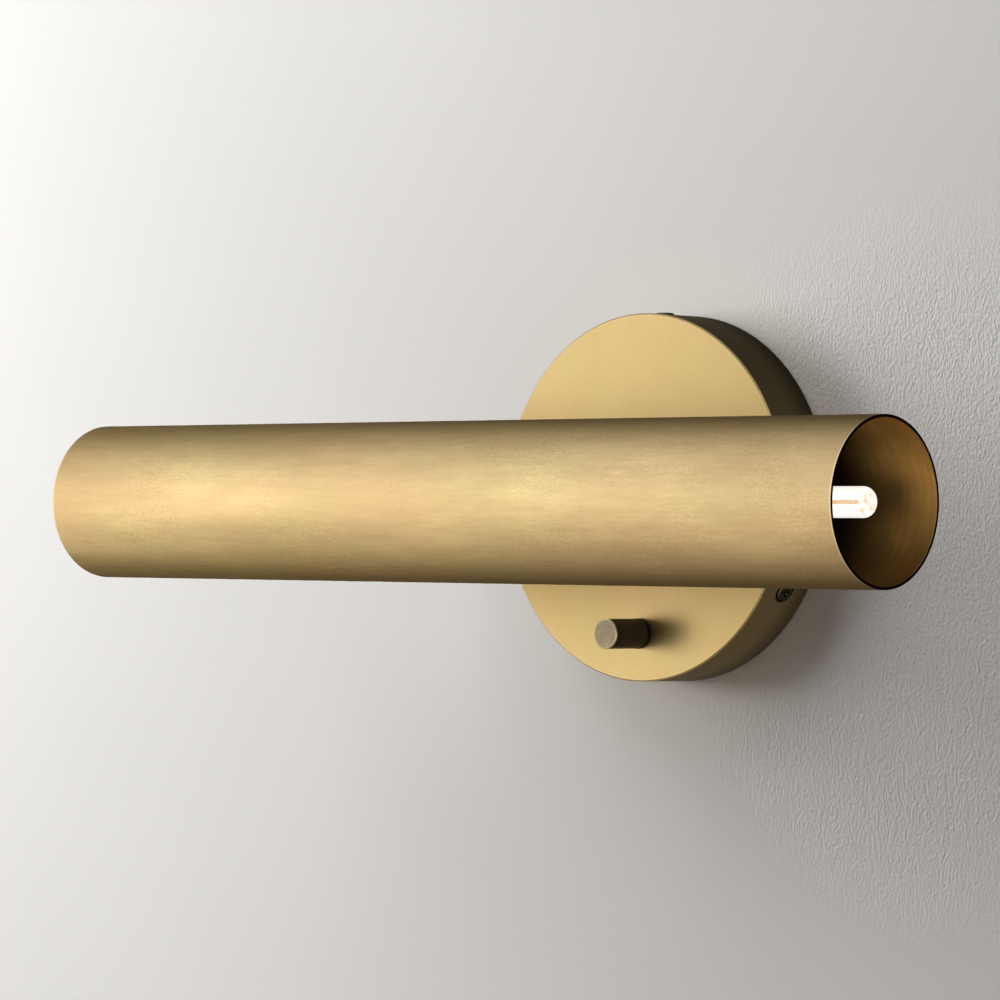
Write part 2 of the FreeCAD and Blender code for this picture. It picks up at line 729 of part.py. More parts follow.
def make_lamp_glass():
    """Thin glass capsule, open behind."""
    outer = lamp_outline(lamp_diameter / 2, lamp_tip, lamp_tip_radius, lamp_glass_back)
    inner = lamp_outline(lamp_diameter / 2 - lamp_glass_wall, lamp_tip - lamp_glass_wall,
                         lamp_tip_radius - lamp_glass_wall, lamp_glass_back - cut_past)
    return outer.cut(inner)


def make_lamp_base():
    """Ceramic base: a spigot in the glass, a round collar and a flat block for the socket."""
    spigot_radius = lamp_diameter / 2 - lamp_glass_wall - lamp_fit
    collar_back = lamp_glass_back - lamp_collar_length
    spigot_front = lamp_glass_back + lamp_spigot_length
    collar = rod_x(lamp_collar_diameter / 2, collar_back, lamp_glass_back, axis_y, axis_z)
    spigot = rod_x(spigot_radius, lamp_glass_back, spigot_front, axis_y, axis_z)
    flat = block(lamp_base_back, collar_back,
                 axis_y - lamp_base_thickness / 2, axis_y + lamp_base_thickness / 2,
                 axis_z - lamp_base_width / 2, axis_z + lamp_base_width / 2)
    long_edges = edges_where(flat, lambda b: b.YLength < 1e-4 and b.ZLength < 1e-4)
    flat = flat.makeFillet(lamp_base_corner, long_edges)
    return collar.fuse([spigot, flat]).removeSplitter()


def make_lamp_pins():
    pins = []
    for side in (-1, 1):
        z = axis_z + side * pin_spacing / 2
        pin = rod_x(pin_diameter / 2, lamp_base_back - pin_length, lamp_base_back, axis_y, z)
        pins.append(chamfer_plane(pin, "X", lamp_base_back - pin_length, pin_diameter / 5))
    return Part.makeCompound(pins)


def make_lamp_filament():
    """Glowing rod along the lamp's axis on a support wire and a return wire."""
    front = lamp_tip - lamp_glass_wall - filament_tip_gap
    back = front - filament_length
    seat = lamp_glass_back + lamp_spigot_length
    wire_radius = lead_wire_diameter / 2
    wire_z = axis_z - lead_wire_offset
    bridge_x = front + lead_wire_overhang
    rod = rod_x(filament_diameter / 2, back, front, axis_y, axis_z)
    stem = rod_x(wire_radius, seat, back, axis_y, axis_z)
    line = rod_x(wire_radius, seat, bridge_x, axis_y, wire_z)
    bridge = rod_z(wire_radius, wire_z, axis_z, bridge_x, axis_y)
    tip = rod_x(wire_radius, front, bridge_x, axis_y, axis_z)
    knuckle = Part.makeSphere(wire_radius, V(bridge_x, axis_y, wire_z))
    cap = Part.makeSphere(wire_radius, V(bridge_x, axis_y, axis_z))
    return rod.fuse([stem, line, bridge, tip, knuckle, cap]).removeSplitter()


# ---------------------------------------------------------------- dimmer and knob
def make_knob():
    """Round knob with a blind bore, a hollow back and a hole for its grub screw."""
    knob = rod_y(knob_diameter / 2, knob_back, knob_front, 0, knob_z)
    knob = chamfer_plane(knob, "Y", knob_front, knob_edge)
    behind = knob_back + cut_past
    knob = knob.cut(rod_y(knob_hollow_radius, behind, knob_back - knob_hollow_depth, 0, knob_z))
    knob = knob.cut(rod_y(shaft_radius + shaft_seat_clearance, behind, shaft_front, 0, knob_z))
    y = knob_front + grub_setback
    return knob.cut(rod_z(grub_diameter / 2 + tapped_clearance, knob_z, knob_z - knob_diameter, 0, y))


def make_knob_grub_screw():
    """Headless screw from below that locks the knob on the shaft."""
    top = knob_z - shaft_radius
    y = knob_front + grub_setback
    screw = rod_z(grub_diameter / 2, top, top - grub_length, 0, y)
    flats = grub_diameter / 2
    corner = flats / 2 / math.cos(math.pi / 6)
    points = []
    for i in range(7):
        turn = math.radians(60 * i)
        points.append(V(corner * math.cos(turn), y + corner * math.sin(turn), top - grub_length))
    key = Part.Face(Part.makePolygon(points)).extrude(V(0, 0, grub_length / 2))
    return screw.cut(key)


def make_dimmer_shaft():
    """Steel shaft with the wiper disc of the dimmer at its back."""
    shaft = rod_y(shaft_radius, rotor_front, shaft_front, 0, knob_z)
    shaft = chamfer_plane(shaft, "Y", shaft_front, dimmer_shaft_chamfer)
    rotor = rod_y(rotor_diameter / 2, rotor_front, rotor_back, 0, knob_z)
    return shaft.fuse(rotor).removeSplitter()


def make_dimmer_bush():
    """Threaded bush that carries the shaft and holds the dimmer in the canopy's face."""
    bore = shaft_radius + shaft_running_clearance
    bush = ring_y(bush_radius, bore, dimmer_front, bush_front, 0, knob_z)
    collar = ring_y(dimmer_bush_collar / 2, bore, dimmer_plate_back, dimmer_front, 0, knob_z)
    return bush.fuse(collar).removeSplitter()


def dimmer_block(y0, y1, inset):
    """A block behind the knob, as wide and high as the dimmer less an inset all round."""
    half_width = dimmer_width / 2 - inset
    half_height = dimmer_height / 2 - inset
    body = block(-half_width, half_width, y0, y1, knob_z - half_height, knob_z + half_height)
    if inset > 0:
        return body
    corners = edges_where(body, lambda b: b.XLength < 1e-4 and b.ZLength < 1e-4)
    return body.makeFillet(dimmer_corner, corners)


def make_dimmer_plate():
    """Steel front plate of the dimmer, against the inside of the canopy."""
    plate = dimmer_block(dimmer_front, dimmer_plate_back, 0)
    front = dimmer_front - cut_past
    back = dimmer_plate_back + cut_past
    return plate.cut(rod_y(dimmer_bush_collar / 2, front, back, 0, knob_z))


def make_dimmer_case():
    """Moulded box behind the plate, with two lead entries in its top."""
    case = dimmer_block(dimmer_plate_back, dimmer_back, 0)
    case = case.cut(dimmer_block(dimmer_plate_back - cut_past, dimmer_back - dimmer_wall, dimmer_wall))
    top = knob_z + dimmer_height / 2
    radius = lead_diameter / 2 + contact_clearance
    for side in (-1, 1):
        x = side * dimmer_lead_offset
        case = case.cut(rod_z(radius, top - 2 * dimmer_wall, top + cut_past, x, dimmer_lead_y))
    return case


def make_dimmer_board():
    """Circuit board with the track that the wiper runs on."""
    return dimmer_block(dimmer_board_front, dimmer_board_back, dimmer_wall)


def make_dimmer_washer():
    bore = bush_radius + bolt_clearance
    return ring_y(dimmer_nut_radius, bore, canopy_front, dimmer_nut_back, 0, knob_z)


def make_dimmer_nut():
    """Slotted ring nut, hidden in the hollow of the knob's back."""
    bore = bush_radius + tapped_clearance
    nut = ring_y(dimmer_nut_radius, bore, dimmer_nut_back, dimmer_nut_front, 0, knob_z)
    half_slot = dimmer_nut_slot_width / 2
    slot_floor = dimmer_nut_front + dimmer_nut_slot_depth
    slot = block(-dimmer_nut_radius, dimmer_nut_radius, dimmer_nut_front - cut_past, slot_floor,
                 knob_z - half_slot, knob_z + half_slot)
    return nut.cut(slot)


# ---------------------------------------------------------------- wiring
def terminal_middle():
    return (terminal_bottom + terminal_top) / 2


def make_terminal_block():
    """Three-way screw terminal with a bore along Z in each way."""
    half = 1.5 * terminal_pitch
    front = plate_front - terminal_depth
    body = block(-half, half, plate_front, front, terminal_bottom, terminal_top)
    half_notch = terminal_notch_width / 2
    for gap in (-terminal_pitch / 2, terminal_pitch / 2):
        for z in (terminal_bottom, terminal_top):
            notch = block(gap - half_notch, gap + half_notch, front - cut_past, plate_front - terminal_web,
                          z - terminal_notch_depth, z + terminal_notch_depth)
            body = body.cut(notch)
    low = terminal_bottom - cut_past
    high = terminal_top + cut_past
    for way in (-1, 0, 1):
        x = way * terminal_pitch
        body = body.cut(rod_z(terminal_bore / 2, low, high, x, terminal_y))
        for z in terminal_screw_places():
            hole = terminal_screw_diameter / 2 + contact_clearance
            body = body.cut(rod_y(hole, terminal_y, front - cut_past, x, z))
    x = terminal_pitch / 2
    z = terminal_middle()
    hole = terminal_fixing_diameter / 2 + bolt_clearance
    body = body.cut(rod_y(hole, plate_front + cut_past, front - cut_past, x, z))
    hole = terminal_fixing_head / 2 + bolt_clearance
    return body.cut(rod_y(hole, terminal_seat_y(), front - cut_past, x, z))


def terminal_seat_y():
    """The plane that the fixing screw's head sits on, below the block's front face."""
    return plate_front - terminal_depth + terminal_fixing_seat


def terminal_screw_places():
    inset = terminal_height * terminal_screw_place
    return (terminal_bottom + inset, terminal_top - inset)


def make_terminal_screws():
    """Six slotted screws that pinch the leads in the terminal's bores."""
    screws = []
    radius = terminal_screw_diameter / 2
    half_slot = terminal_slot_width / 2
    outer = terminal_y - terminal_bore / 2 - terminal_screw_length + terminal_screw_rise
    inner = terminal_y - lead_pitch / 2 - lead_diameter / 2
    for way in (-1, 0, 1):
        x = way * terminal_pitch
        for z in terminal_screw_places():
            screw = rod_y(radius, inner, outer, x, z)
            slot = block(x - 2 * radius, x + 2 * radius, outer - cut_past, outer + terminal_slot_depth,
                         z - half_slot, z + half_slot)
            screws.append(screw.cut(slot))
    return Part.makeCompound(screws)


def make_terminal_fixing_screw():
    """Screw that fixes the terminal block to the plate."""
    seat = V(terminal_pitch / 2, terminal_seat_y(), terminal_middle())
    length = plate_thickness + terminal_depth - terminal_fixing_seat - tip_shortfall
    head = (terminal_fixing_head, terminal_fixing_head_height)
    return aim(pan_screw(terminal_fixing_diameter, length, *head), seat, -ALONG_Y)


def make_lamp_lead(side, way):
    """One insulated lead: terminal, arm, along the tube, lampholder contact.

    side is 1 for the right lamp and -1 for the left; way is 1 for live and -1 for neutral.
    The two leads of a lamp lie one inside the other wherever they bend together.
    """
    x = way * lead_pitch / 2
    z = axis_z + side * lead_pitch / 2
    rear_nesting = lead_pitch * (1 - side) / 2
    front_nesting = lead_pitch * (1 - side * way) / 2
    rear_y = rear_lead_plane + rear_nesting
    turn_radius = shade_bend_radius + front_nesting
    run_y = nipple_front - lead_straight - turn_radius
    terminal_x = 0 if way > 0 else -terminal_pitch
    contact_z = axis_z + way * pin_spacing / 2
    points = [
        V(terminal_x, rear_y, terminal_bottom + lead_grip),
        V(terminal_x, rear_y, terminal_bottom - lead_jog_start),
        V(x, rear_y, terminal_bottom - lead_jog_end),
        V(x, rear_y, z),
        V(x, run_y, z),
        V(side * (holder_back - lead_spread_start), run_y, z),
        V(side * (holder_back - lead_spread_end), axis_y, contact_z),
        V(side * contact_back, axis_y, contact_z),
    ]
    slack = lead_slack_bend * lead_diameter
    radii = [slack, slack, lead_bend_radius + rear_nesting, turn_radius, slack, slack]
    return route(points, radii, lead_diameter)


def make_dimmer_feed_lead():
    """From the right-hand way of the terminal, past the wire hole, down to the dimmer."""
    y = terminal_y
    top = knob_z + dimmer_height / 2
    side_x = wire_hole_diameter / 2 + wire_hole_margin
    points = [
        V(terminal_pitch, y, terminal_bottom + lead_grip),
        V(terminal_pitch, y, terminal_bottom - lead_jog_start),
        V(side_x, y, wire_hole_diameter / 2 - wire_hole_margin),
        V(side_x, y, -wire_hole_diameter / 2),
        V(dimmer_lead_offset, dimmer_lead_y, top + dimmer_lead_rise),
        V(dimmer_lead_offset, dimmer_lead_y, top - dimmer_wall),
    ]
    tight = lead_tight_bend * lead_diameter
    slack = lead_slack_bend * lead_diameter
    return route(points, [tight, slack, slack, tight], lead_diameter)


def make_dimmer_return_lead():
    """From the dimmer up the left side and over into the middle way of the terminal."""
    y = terminal_y
    top = knob_z + dimmer_height / 2
    side_x = -1.5 * terminal_pitch - return_lead_margin
    over_z = terminal_top + return_lead_rise
    points = [
        V(-dimmer_lead_offset, dimmer_lead_y, top - dimmer_wall),
        V(-dimmer_lead_offset, dimmer_lead_y, top + dimmer_lead_rise),
        V(side_x, y, -wire_hole_diameter / 2),
        V(side_x, y, terminal_top),
        V(side_x + return_lead_margin, y, over_z),
        V(0, y, over_z),
        V(0, y, terminal_top - terminal_height / 2 + lead_tip_gap),
    ]
    tight = lead_tight_bend * lead_diameter
    slack = lead_slack_bend * lead_diameter
    return route(points, [tight, slack, slack, tight, tight], lead_diameter)


def make_earth_lead():
    """From the arm's earth tag down to the lug on the plate."""
    heading = -earth_direction()
    tag = earth_tag_place() + heading * (earth_tag_barrel_start + crimp_depth)
    lug = earth_barrel_place() - heading * (earth_screw_head / 2 + bolt_clearance + crimp_depth)
    leave = tag + heading * (earth_tag_barrel_length - crimp_depth + earth_lead_straight)
    arrive = lug - heading * (earth_barrel_length - crimp_depth + earth_lead_straight)
    points = [tag, leave, arrive, lug]
    bend = earth_lead_bend * lead_diameter
    return route(points, [bend, bend], lead_diameter)


def add(name, shape):
    """Write one sub-part and print what it holds."""
    problem = "" if shape.isValid() else "  NOT VALID"
    box = shape.BoundBox
    reach = (box.XMin, box.XMax, box.YMin, box.YMax, box.ZMin, box.ZMax)
    print("%-26s solids %2d  volume %10.1f" % (name, len(shape.Solids), shape.Volume),
          " x %7.1f %7.1f  y %7.1f %7.1f  z %7.1f %7.1f" % reach, problem)
    shape.exportStep("parts/%s.step" % name)


def main():
    os.makedirs("parts", exist_ok=True)
    add("mounting_plate", make_mounting_plate())
    add("canopy", make_canopy())
    add("canopy_screws", make_canopy_screws())
    add("earth_lug", make_earth_lug())
    add("earth_screw", make_earth_screw())
    add("arm_sleeve", make_arm_sleeve())
    add("arm_nipple", make_arm_nipple())
    add("arm_rear_washer", make_arm_rear_washer())
    add("arm_earth_tag", make_arm_earth_tag())
    add("arm_rear_nut", make_arm_rear_nut())
    add("arm_saddle", make_arm_saddle())
    add("arm_front_washer", make_arm_front_washer())
    add("arm_front_nut", make_arm_front_nut())
    add("shade_tube", make_shade_tube())
    add("lamp_bracket", make_lamp_bracket())
    for word, side in (("right", 1), ("left", -1)):
        add(word + "_lampholder", mirrored(make_lampholder(), side))
        add(word + "_holder_contacts", mirrored(make_holder_contacts(), side))
        add(word + "_holder_screws", mirrored(make_holder_screws(), side))
        add(word + "_lamp_glass", mirrored(make_lamp_glass(), side))
        add(word + "_lamp_base", mirrored(make_lamp_base(), side))
        add(word + "_lamp_pins", mirrored(make_lamp_pins(), side))
        add(word + "_lamp_filament", mirrored(make_lamp_filament(), side))
        add(word + "_live_lead", make_lamp_lead(side, 1))
        add(word + "_neutral_lead", make_lamp_lead(side, -1))
    add("knob", make_knob())
    add("knob_grub_screw", make_knob_grub_screw())
    add("dimmer_shaft", make_dimmer_shaft())
    add("dimmer_bush", make_dimmer_bush())
    add("dimmer_plate", make_dimmer_plate())
    add("dimmer_case", make_dimmer_case())
    add("dimmer_board", make_dimmer_board())
    add("dimmer_washer", make_dimmer_washer())
    add("dimmer_nut", make_dimmer_nut())
    add("terminal_block", make_terminal_block())
    add("terminal_screws", make_terminal_screws())
    add("terminal_fixing_screw", make_terminal_fixing_screw())
    add("dimmer_feed_lead", make_dimmer_feed_lead())
    add("dimmer_return_lead", make_dimmer_return_lead())
    add("earth_lead", make_earth_lead())


main()
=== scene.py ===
# %% [markdown]
# # A brass tube wall light
#
# The light is a long open tube of aged brass, held level in front of a round brass cup by a short
# arm that the tube hides. A small lamp sits in each end of the tube, and a knurled knob below it
# dims both. This lesson dresses the finished frame of the light: it lights it, gives every piece a
# finish, and models again the two pieces whose shape the eye rests on, the tube and the knob.

import json
import math

import bmesh
import bpy
from mathutils import Matrix, Vector


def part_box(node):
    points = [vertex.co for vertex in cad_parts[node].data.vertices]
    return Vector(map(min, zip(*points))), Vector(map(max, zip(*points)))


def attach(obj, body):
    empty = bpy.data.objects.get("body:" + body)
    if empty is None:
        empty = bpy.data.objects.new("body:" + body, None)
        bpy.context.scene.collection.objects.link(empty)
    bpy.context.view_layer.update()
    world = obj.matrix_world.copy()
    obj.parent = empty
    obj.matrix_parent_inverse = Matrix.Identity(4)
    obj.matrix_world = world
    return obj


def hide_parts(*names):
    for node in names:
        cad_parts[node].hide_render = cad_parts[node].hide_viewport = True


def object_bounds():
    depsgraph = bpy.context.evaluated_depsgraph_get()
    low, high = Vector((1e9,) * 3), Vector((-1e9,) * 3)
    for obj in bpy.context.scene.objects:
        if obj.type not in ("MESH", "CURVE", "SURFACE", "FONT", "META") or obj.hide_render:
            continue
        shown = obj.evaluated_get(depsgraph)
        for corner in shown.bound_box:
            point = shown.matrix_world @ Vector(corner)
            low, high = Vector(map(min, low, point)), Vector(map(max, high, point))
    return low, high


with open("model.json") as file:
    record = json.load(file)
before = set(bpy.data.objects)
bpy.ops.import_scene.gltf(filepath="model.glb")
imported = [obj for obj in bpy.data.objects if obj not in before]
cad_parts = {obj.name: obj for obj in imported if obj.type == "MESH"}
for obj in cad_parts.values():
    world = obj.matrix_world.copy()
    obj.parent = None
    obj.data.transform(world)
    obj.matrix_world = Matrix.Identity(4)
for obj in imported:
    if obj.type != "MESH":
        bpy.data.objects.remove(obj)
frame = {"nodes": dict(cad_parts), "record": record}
cad_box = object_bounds()
MM = 0.001
scene = bpy.context.scene
nodes = frame["nodes"]
cad_size = cad_box[1] - cad_box[0]
print("pieces in the frame:", len(nodes), "size in mm:", [round(v / MM, 1) for v in cad_size])

# %% [markdown]
# ## Sizes read from the frame
#
# Every new piece takes its place from the piece it stands for, so hardly anything has to be typed
# twice. Only the thickness of the tube's wall is given here, because a box doesn't show it. The tube
# lies along X, so its middle in Y and Z is the line that the lamps and the brushing follow. The
# cup's middle line goes straight out of the wall, from the point that everything is measured from.

# %% Read the tube, the cup and the knob
tube_low, tube_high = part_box("shade_tube")
tube_axis = (tube_low + tube_high) / 2
tube_radius = (tube_high.z - tube_low.z) / 2
tube_wall = 1.2 * MM
tube_inner = tube_radius - tube_wall
tube_end = tube_high.x
lamp_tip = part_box("right_lamp_glass")[1].x

cup_low, cup_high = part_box("canopy")
cup_radius = (cup_high.x - cup_low.x) / 2
cup_front = cup_low.y

screw_low, screw_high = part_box("canopy_screws")

knob_low, knob_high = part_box("knob")
knob_axis = (knob_low + knob_high) / 2
knob_radius = (knob_high.x - knob_low.x) / 2
print("tube radius %.2f mm, cup radius %.2f mm, knob radius %.2f mm"
      % (tube_radius / MM, cup_radius / MM, knob_radius / MM))

# %% [markdown]
# ## The camera
#
# The photograph looks along the wall from the right with a long lens, so the tube keeps nearly the
# same height from end to end. The camera stands about 1.8 m away, nearly level with the tube, and
# leans less than a degree.

# %% Place the camera
CAMERA_PLACE = Vector((1.2147, -1.4260, -0.0259))
CAMERA_YAW = math.radians(42.748)
CAMERA_PITCH = math.radians(0.746)
CAMERA_ROLL = math.radians(0.682)
FOCAL_PIXELS = 4548.9
IMAGE_PIXELS = 1000
SENSOR = 36.0
NEAREST_SEEN = 0.05


def camera_axes(yaw, pitch, roll):
    """The camera's right, up and forward directions."""
    run = math.cos(pitch)
    forward = Vector((-math.sin(yaw) * run, math.cos(yaw) * run, math.sin(pitch)))
    level = Vector((math.cos(yaw), math.sin(yaw), 0))
    above = level.cross(forward)
    right = level * math.cos(roll) + above * math.sin(roll)
    return right, right.cross(forward), forward


right, up, forward = camera_axes(CAMERA_YAW, CAMERA_PITCH, CAMERA_ROLL)
camera = bpy.data.objects.new("camera", bpy.data.cameras.new("camera"))
scene.collection.objects.link(camera)
turned_view = Matrix((right, up, -forward)).transposed().to_4x4()
camera.matrix_world = Matrix.Translation(CAMERA_PLACE) @ turned_view
camera.data.sensor_width = SENSOR
camera.data.lens = FOCAL_PIXELS * SENSOR / IMAGE_PIXELS
camera.data.clip_start = NEAREST_SEEN
scene.camera = camera
print("lens %.1f mm" % camera.data.lens)

# %% [markdown]
# ## The light in the room
#
# Two things have to be lit, and they ask for different light. The plaster wall shows where the
# light comes from, so a large window stands far to the left and a little above, which gives the
# wall its fall from bright to dim and the fitting its soft shadow on the right. Brass shows what it
# reflects instead, so most of its glow comes from the room itself, which is set further down. A
# softbox stands where the tube mirrors the camera and lifts the highlight, and two faint panels
# widen it at the tube's left end. Lights behind the wall show the fitting's back. Metal doesn't
# mirror the wall, so it would mirror those lights through it. They are therefore only sampled
# directly, where the wall's shadow holds them back. One more light lies low and whitens the floor.

# %% Set the lights
scene.view_settings.view_transform = "Standard"

MIRRORED_VIEW = Vector((-0.68, -0.73, 0.0)).normalized()
SOFTBOX_AWAY = 1.3
SOFTBOX_SHIFT = Vector((-0.30, -0.08, -0.03))
SOFTBOX_PLACE = MIRRORED_VIEW * SOFTBOX_AWAY + SOFTBOX_SHIFT
WHITE = (1.0, 1.0, 1.0)
DAYLIGHT = (0.985, 0.988, 0.96)
WARM_WHITE = (1.0, 0.95, 0.88)

# Each row: name, place, the point it is aimed at, size, watts, colour, what it shows on.
LIGHTS = [
    ("window", (-1.4, -0.75, 0.34), (-0.25, 0, 0.08), (1.1, 0.9), 24.0, DAYLIGHT, "plaster"),
    ("ceiling_bounce", (-0.55, -0.8, 1.15), (-0.1, 0, 0.5), (1.0, 1.0), 8.0, WHITE, "plaster"),
    ("softbox", SOFTBOX_PLACE, (-0.1, -0.1, 0), (0.4, 0.9), 2.2, WARM_WHITE, "both"),
    ("end_glow", (-0.65, -0.40, 0.28), (-0.2, -0.15, 0), (0.35, 0.35), 0.13, WHITE, "metal"),
    ("end_glow", (-0.65, -0.28, -0.36), (-0.2, -0.15, 0), (0.35, 0.35), 0.13, WHITE, "metal"),
    ("back_light", (-1.5, 1.6, 0.2), (0, 0, 0), (2.0, 1.6), 11.0, WHITE, "both"),
    ("back_light", (1.5, 1.6, 0.2), (0, 0, 0), (2.0, 1.6), 11.0, WHITE, "both"),
    ("back_ceiling", (0, 1.6, 2.3), (0, 0.8, 0), (3.0, 2.0), 110.0, WHITE, "plaster"),
    ("floor_light", (0, 0, -0.9), (0, 0, -2), (30.0, 30.0), 1900.0, WHITE, "plaster"),
]


def soft_light(name, place, target, size, watts, colour):
    """A rectangular soft light, aimed at a point and hidden from the camera."""
    data = bpy.data.lights.new(name, "AREA")
    data.shape = "RECTANGLE"
    data.size, data.size_y = size
    data.energy = watts
    data.color = colour
    lamp = bpy.data.objects.new(name, data)
    scene.collection.objects.link(lamp)
    lamp.location = place
    lamp.rotation_euler = (Vector(target) - Vector(place)).to_track_quat("-Z", "Y").to_euler()
    lamp.visible_camera = False
    return lamp


for name, place, target, size, watts, colour, shows_on in LIGHTS:
    lamp = soft_light(name, place, target, size, watts, colour)
    lamp.visible_glossy = shows_on != "plaster"
    lamp.visible_diffuse = shows_on != "metal"
    lamp.data.cycles.use_multiple_importance_sampling = name != "back_light"

# %% [markdown]
# ## A short way to wire materials
#
# A finish is a small network of nodes. A few helpers keep it readable: they add a node and fill its
# sockets with values or links, do maths, mix colours, and turn a value into a mask. Materials read
# Object coordinates, so the pattern stays on the piece when it moves.

# %% Helpers for nodes


def plug(tree, socket, value):
    """Fill a socket with a number or a link."""
    if isinstance(value, bpy.types.NodeSocket):
        tree.links.new(value, socket)
    else:
        socket.default_value = value


def add(tree, kind, settings=None, **sockets):
    """Add a node; each socket takes a number or a link."""
    node = tree.nodes.new(kind)
    for key, value in (settings or {}).items():
        setattr(node, key, value)
    for key, value in sockets.items():
        plug(tree, node.inputs[key.replace("_", " ")], value)
    return node


def maths(tree, operation, first, second=0.0, third=0.0, clamp=False):
    """A maths node's result."""
    node = tree.nodes.new("ShaderNodeMath")
    node.operation = operation
    node.use_clamp = clamp
    for socket, value in zip(node.inputs, (first, second, third)):
        plug(tree, socket, value)
    return node.outputs[0]


def vectors(tree, operation, first, second=None):
    """A vector maths node."""
    node = tree.nodes.new("ShaderNodeVectorMath")
    node.operation = operation
    plug(tree, node.inputs[0], first)
    if second is not None:
        plug(tree, node.inputs[1], second)
    return node


# The Mix node keeps a pair of sockets for each kind of data; these are the colour ones.
MIX_FACTOR, MIX_FIRST, MIX_SECOND, MIX_RESULT = 0, 6, 7, 2


def mix_colour(tree, factor, first, second, blend="MIX"):
    """A mix of two colours."""
    node = tree.nodes.new("ShaderNodeMix")
    node.data_type = "RGBA"
    node.blend_type = blend
    plug(tree, node.inputs[MIX_FACTOR], factor)
    plug(tree, node.inputs[MIX_FIRST], first)
    plug(tree, node.inputs[MIX_SECOND], second)
    return node.outputs[MIX_RESULT]


def shaded(tree, colour, shade):
    """A colour multiplied by a shade or by another colour."""
    return mix_colour(tree, 1.0, colour, shade, "MULTIPLY")


def ramp(tree, value, low, high, to_low=0.0, to_high=1.0, smooth=True):
    """The value's place between low and high, as a number from to_low to to_high."""
    kind = "SMOOTHSTEP" if smooth else "LINEAR"
    node = add(tree, "ShaderNodeMapRange", {"interpolation_type": kind}, Value=value)
    limits = {"From Min": low, "From Max": high, "To Min": to_low, "To Max": to_high}
    for socket, number in limits.items():
        plug(tree, node.inputs[socket], number)
    return node.outputs[0]


def spread(tree, value, least, most):
    """A value from 0 to 1 stretched evenly from least to most."""
    return ramp(tree, value, 0.0, 1.0, least, most, smooth=False)


def object_place(tree):
    """Where a point lies on its piece."""
    return add(tree, "ShaderNodeTexCoord").outputs["Object"]


print("helpers ready")

# %% [markdown]
# ## Effects that the finishes share
#
# A few small effects make plain metal look used, and one paints highlights along edges. Each could
# be drawn again in every material, but as a group it is built once, and every finish places it with
# its own numbers. An effect gives out only colours, masks and heights, and the material decides
# what to do with them.

# %% Helpers for effects


def effect(name, inputs, outputs):
    """An empty shader node group with named sockets: {name: (kind, default)}."""
    tree = bpy.data.node_groups.new(name, "ShaderNodeTree")
    for socket, (kind, default) in inputs.items():
        made = tree.interface.new_socket(socket, in_out="INPUT", socket_type="NodeSocket" + kind)
        made.default_value = default
    for socket, kind in outputs.items():
        tree.interface.new_socket(socket, in_out="OUTPUT", socket_type="NodeSocket" + kind)
    return tree, tree.nodes.new("NodeGroupInput").outputs, tree.nodes.new("NodeGroupOutput").inputs


def use(tree, group, **sockets):
    """Place an effect in a material with its own values."""
    node = tree.nodes.new("ShaderNodeGroup")
    node.node_tree = group
    for key, value in sockets.items():
        plug(tree, node.inputs[key.replace("_", " ")], value)
    return node.outputs


# %% [markdown]
# ### Brushing
#
# Brushed metal has long fine scratches the way it was rubbed. Noise that is stretched along one
# axis looks like that. A coarse layer under the fine one keeps the lines from looking even.

# %% Brushing
FINE_SHARE = 0.6
COARSE_SCALE = 0.31

brushing, given, result = effect(
    "brushing",
    {"Lines": ("Vector", (90, 2400, 2400)), "Contrast": ("Float", 1.0)},
    {"Line": "Float", "Height": "Float"})
place = object_place(brushing)
stretched = add(brushing, "ShaderNodeMapping", Vector=place, Scale=given["Lines"]).outputs[0]
fine = add(brushing, "ShaderNodeTexNoise", Vector=stretched, Scale=1.0, Detail=3.0, Roughness=0.65)
coarse = add(
    brushing, "ShaderNodeTexNoise", Vector=stretched, Scale=COARSE_SCALE, Detail=2.0, Roughness=0.5)
under = maths(brushing, "MULTIPLY", coarse.outputs[0], 1 - FINE_SHARE)
both = maths(brushing, "MULTIPLY_ADD", fine.outputs[0], FINE_SHARE, under)
centred = maths(brushing, "SUBTRACT", both, 0.5)
line = maths(brushing, "MULTIPLY_ADD", centred, given["Contrast"], 0.5, clamp=True)
brushing.links.new(line, result["Line"])
brushing.links.new(both, result["Height"])

# %% [markdown]
# ### Patina and tint
#
# Aged brass darkens in soft clouds, and here and there it turns a little pink or green. Patina
# fades between a bright and a dull colour, and tint gives a faint hue to multiply over it.

# %% Patina
CLOUD_TOP = 0.95
FADE_BELOW = 0.28
FADE_ABOVE = 0.22

patina, given, result = effect(
    "patina",
    {"Bright": ("Color", (1, 1, 1, 1)), "Dull": ("Color", (0.5, 0.5, 0.5, 1)),
     "Clouds": ("Vector", (20, 60, 60)), "Cover": ("Float", 0.5)},
    {"Color": "Color", "Mask": "Float"})
place = object_place(patina)
wide = add(patina, "ShaderNodeMapping", Vector=place, Scale=given["Clouds"]).outputs[0]
cloud = add(patina, "ShaderNodeTexNoise", Vector=wide, Scale=1.0, Detail=5.0, Roughness=0.62)
middle = maths(patina, "SUBTRACT", CLOUD_TOP, given["Cover"])
bright_until = maths(patina, "SUBTRACT", middle, FADE_BELOW)
dull_from = maths(patina, "ADD", middle, FADE_ABOVE)
soft = ramp(patina, cloud.outputs[0], bright_until, dull_from)
patina.links.new(mix_colour(patina, soft, given["Bright"], given["Dull"]), result["Color"])
patina.links.new(soft, result["Mask"])

# %% Tint
PINKISH = (1.02, 0.955, 0.93, 1)
GREENISH = (0.98, 1.01, 0.93, 1)
TINT_SHIFT = (3.1, 7.7, 1.3)

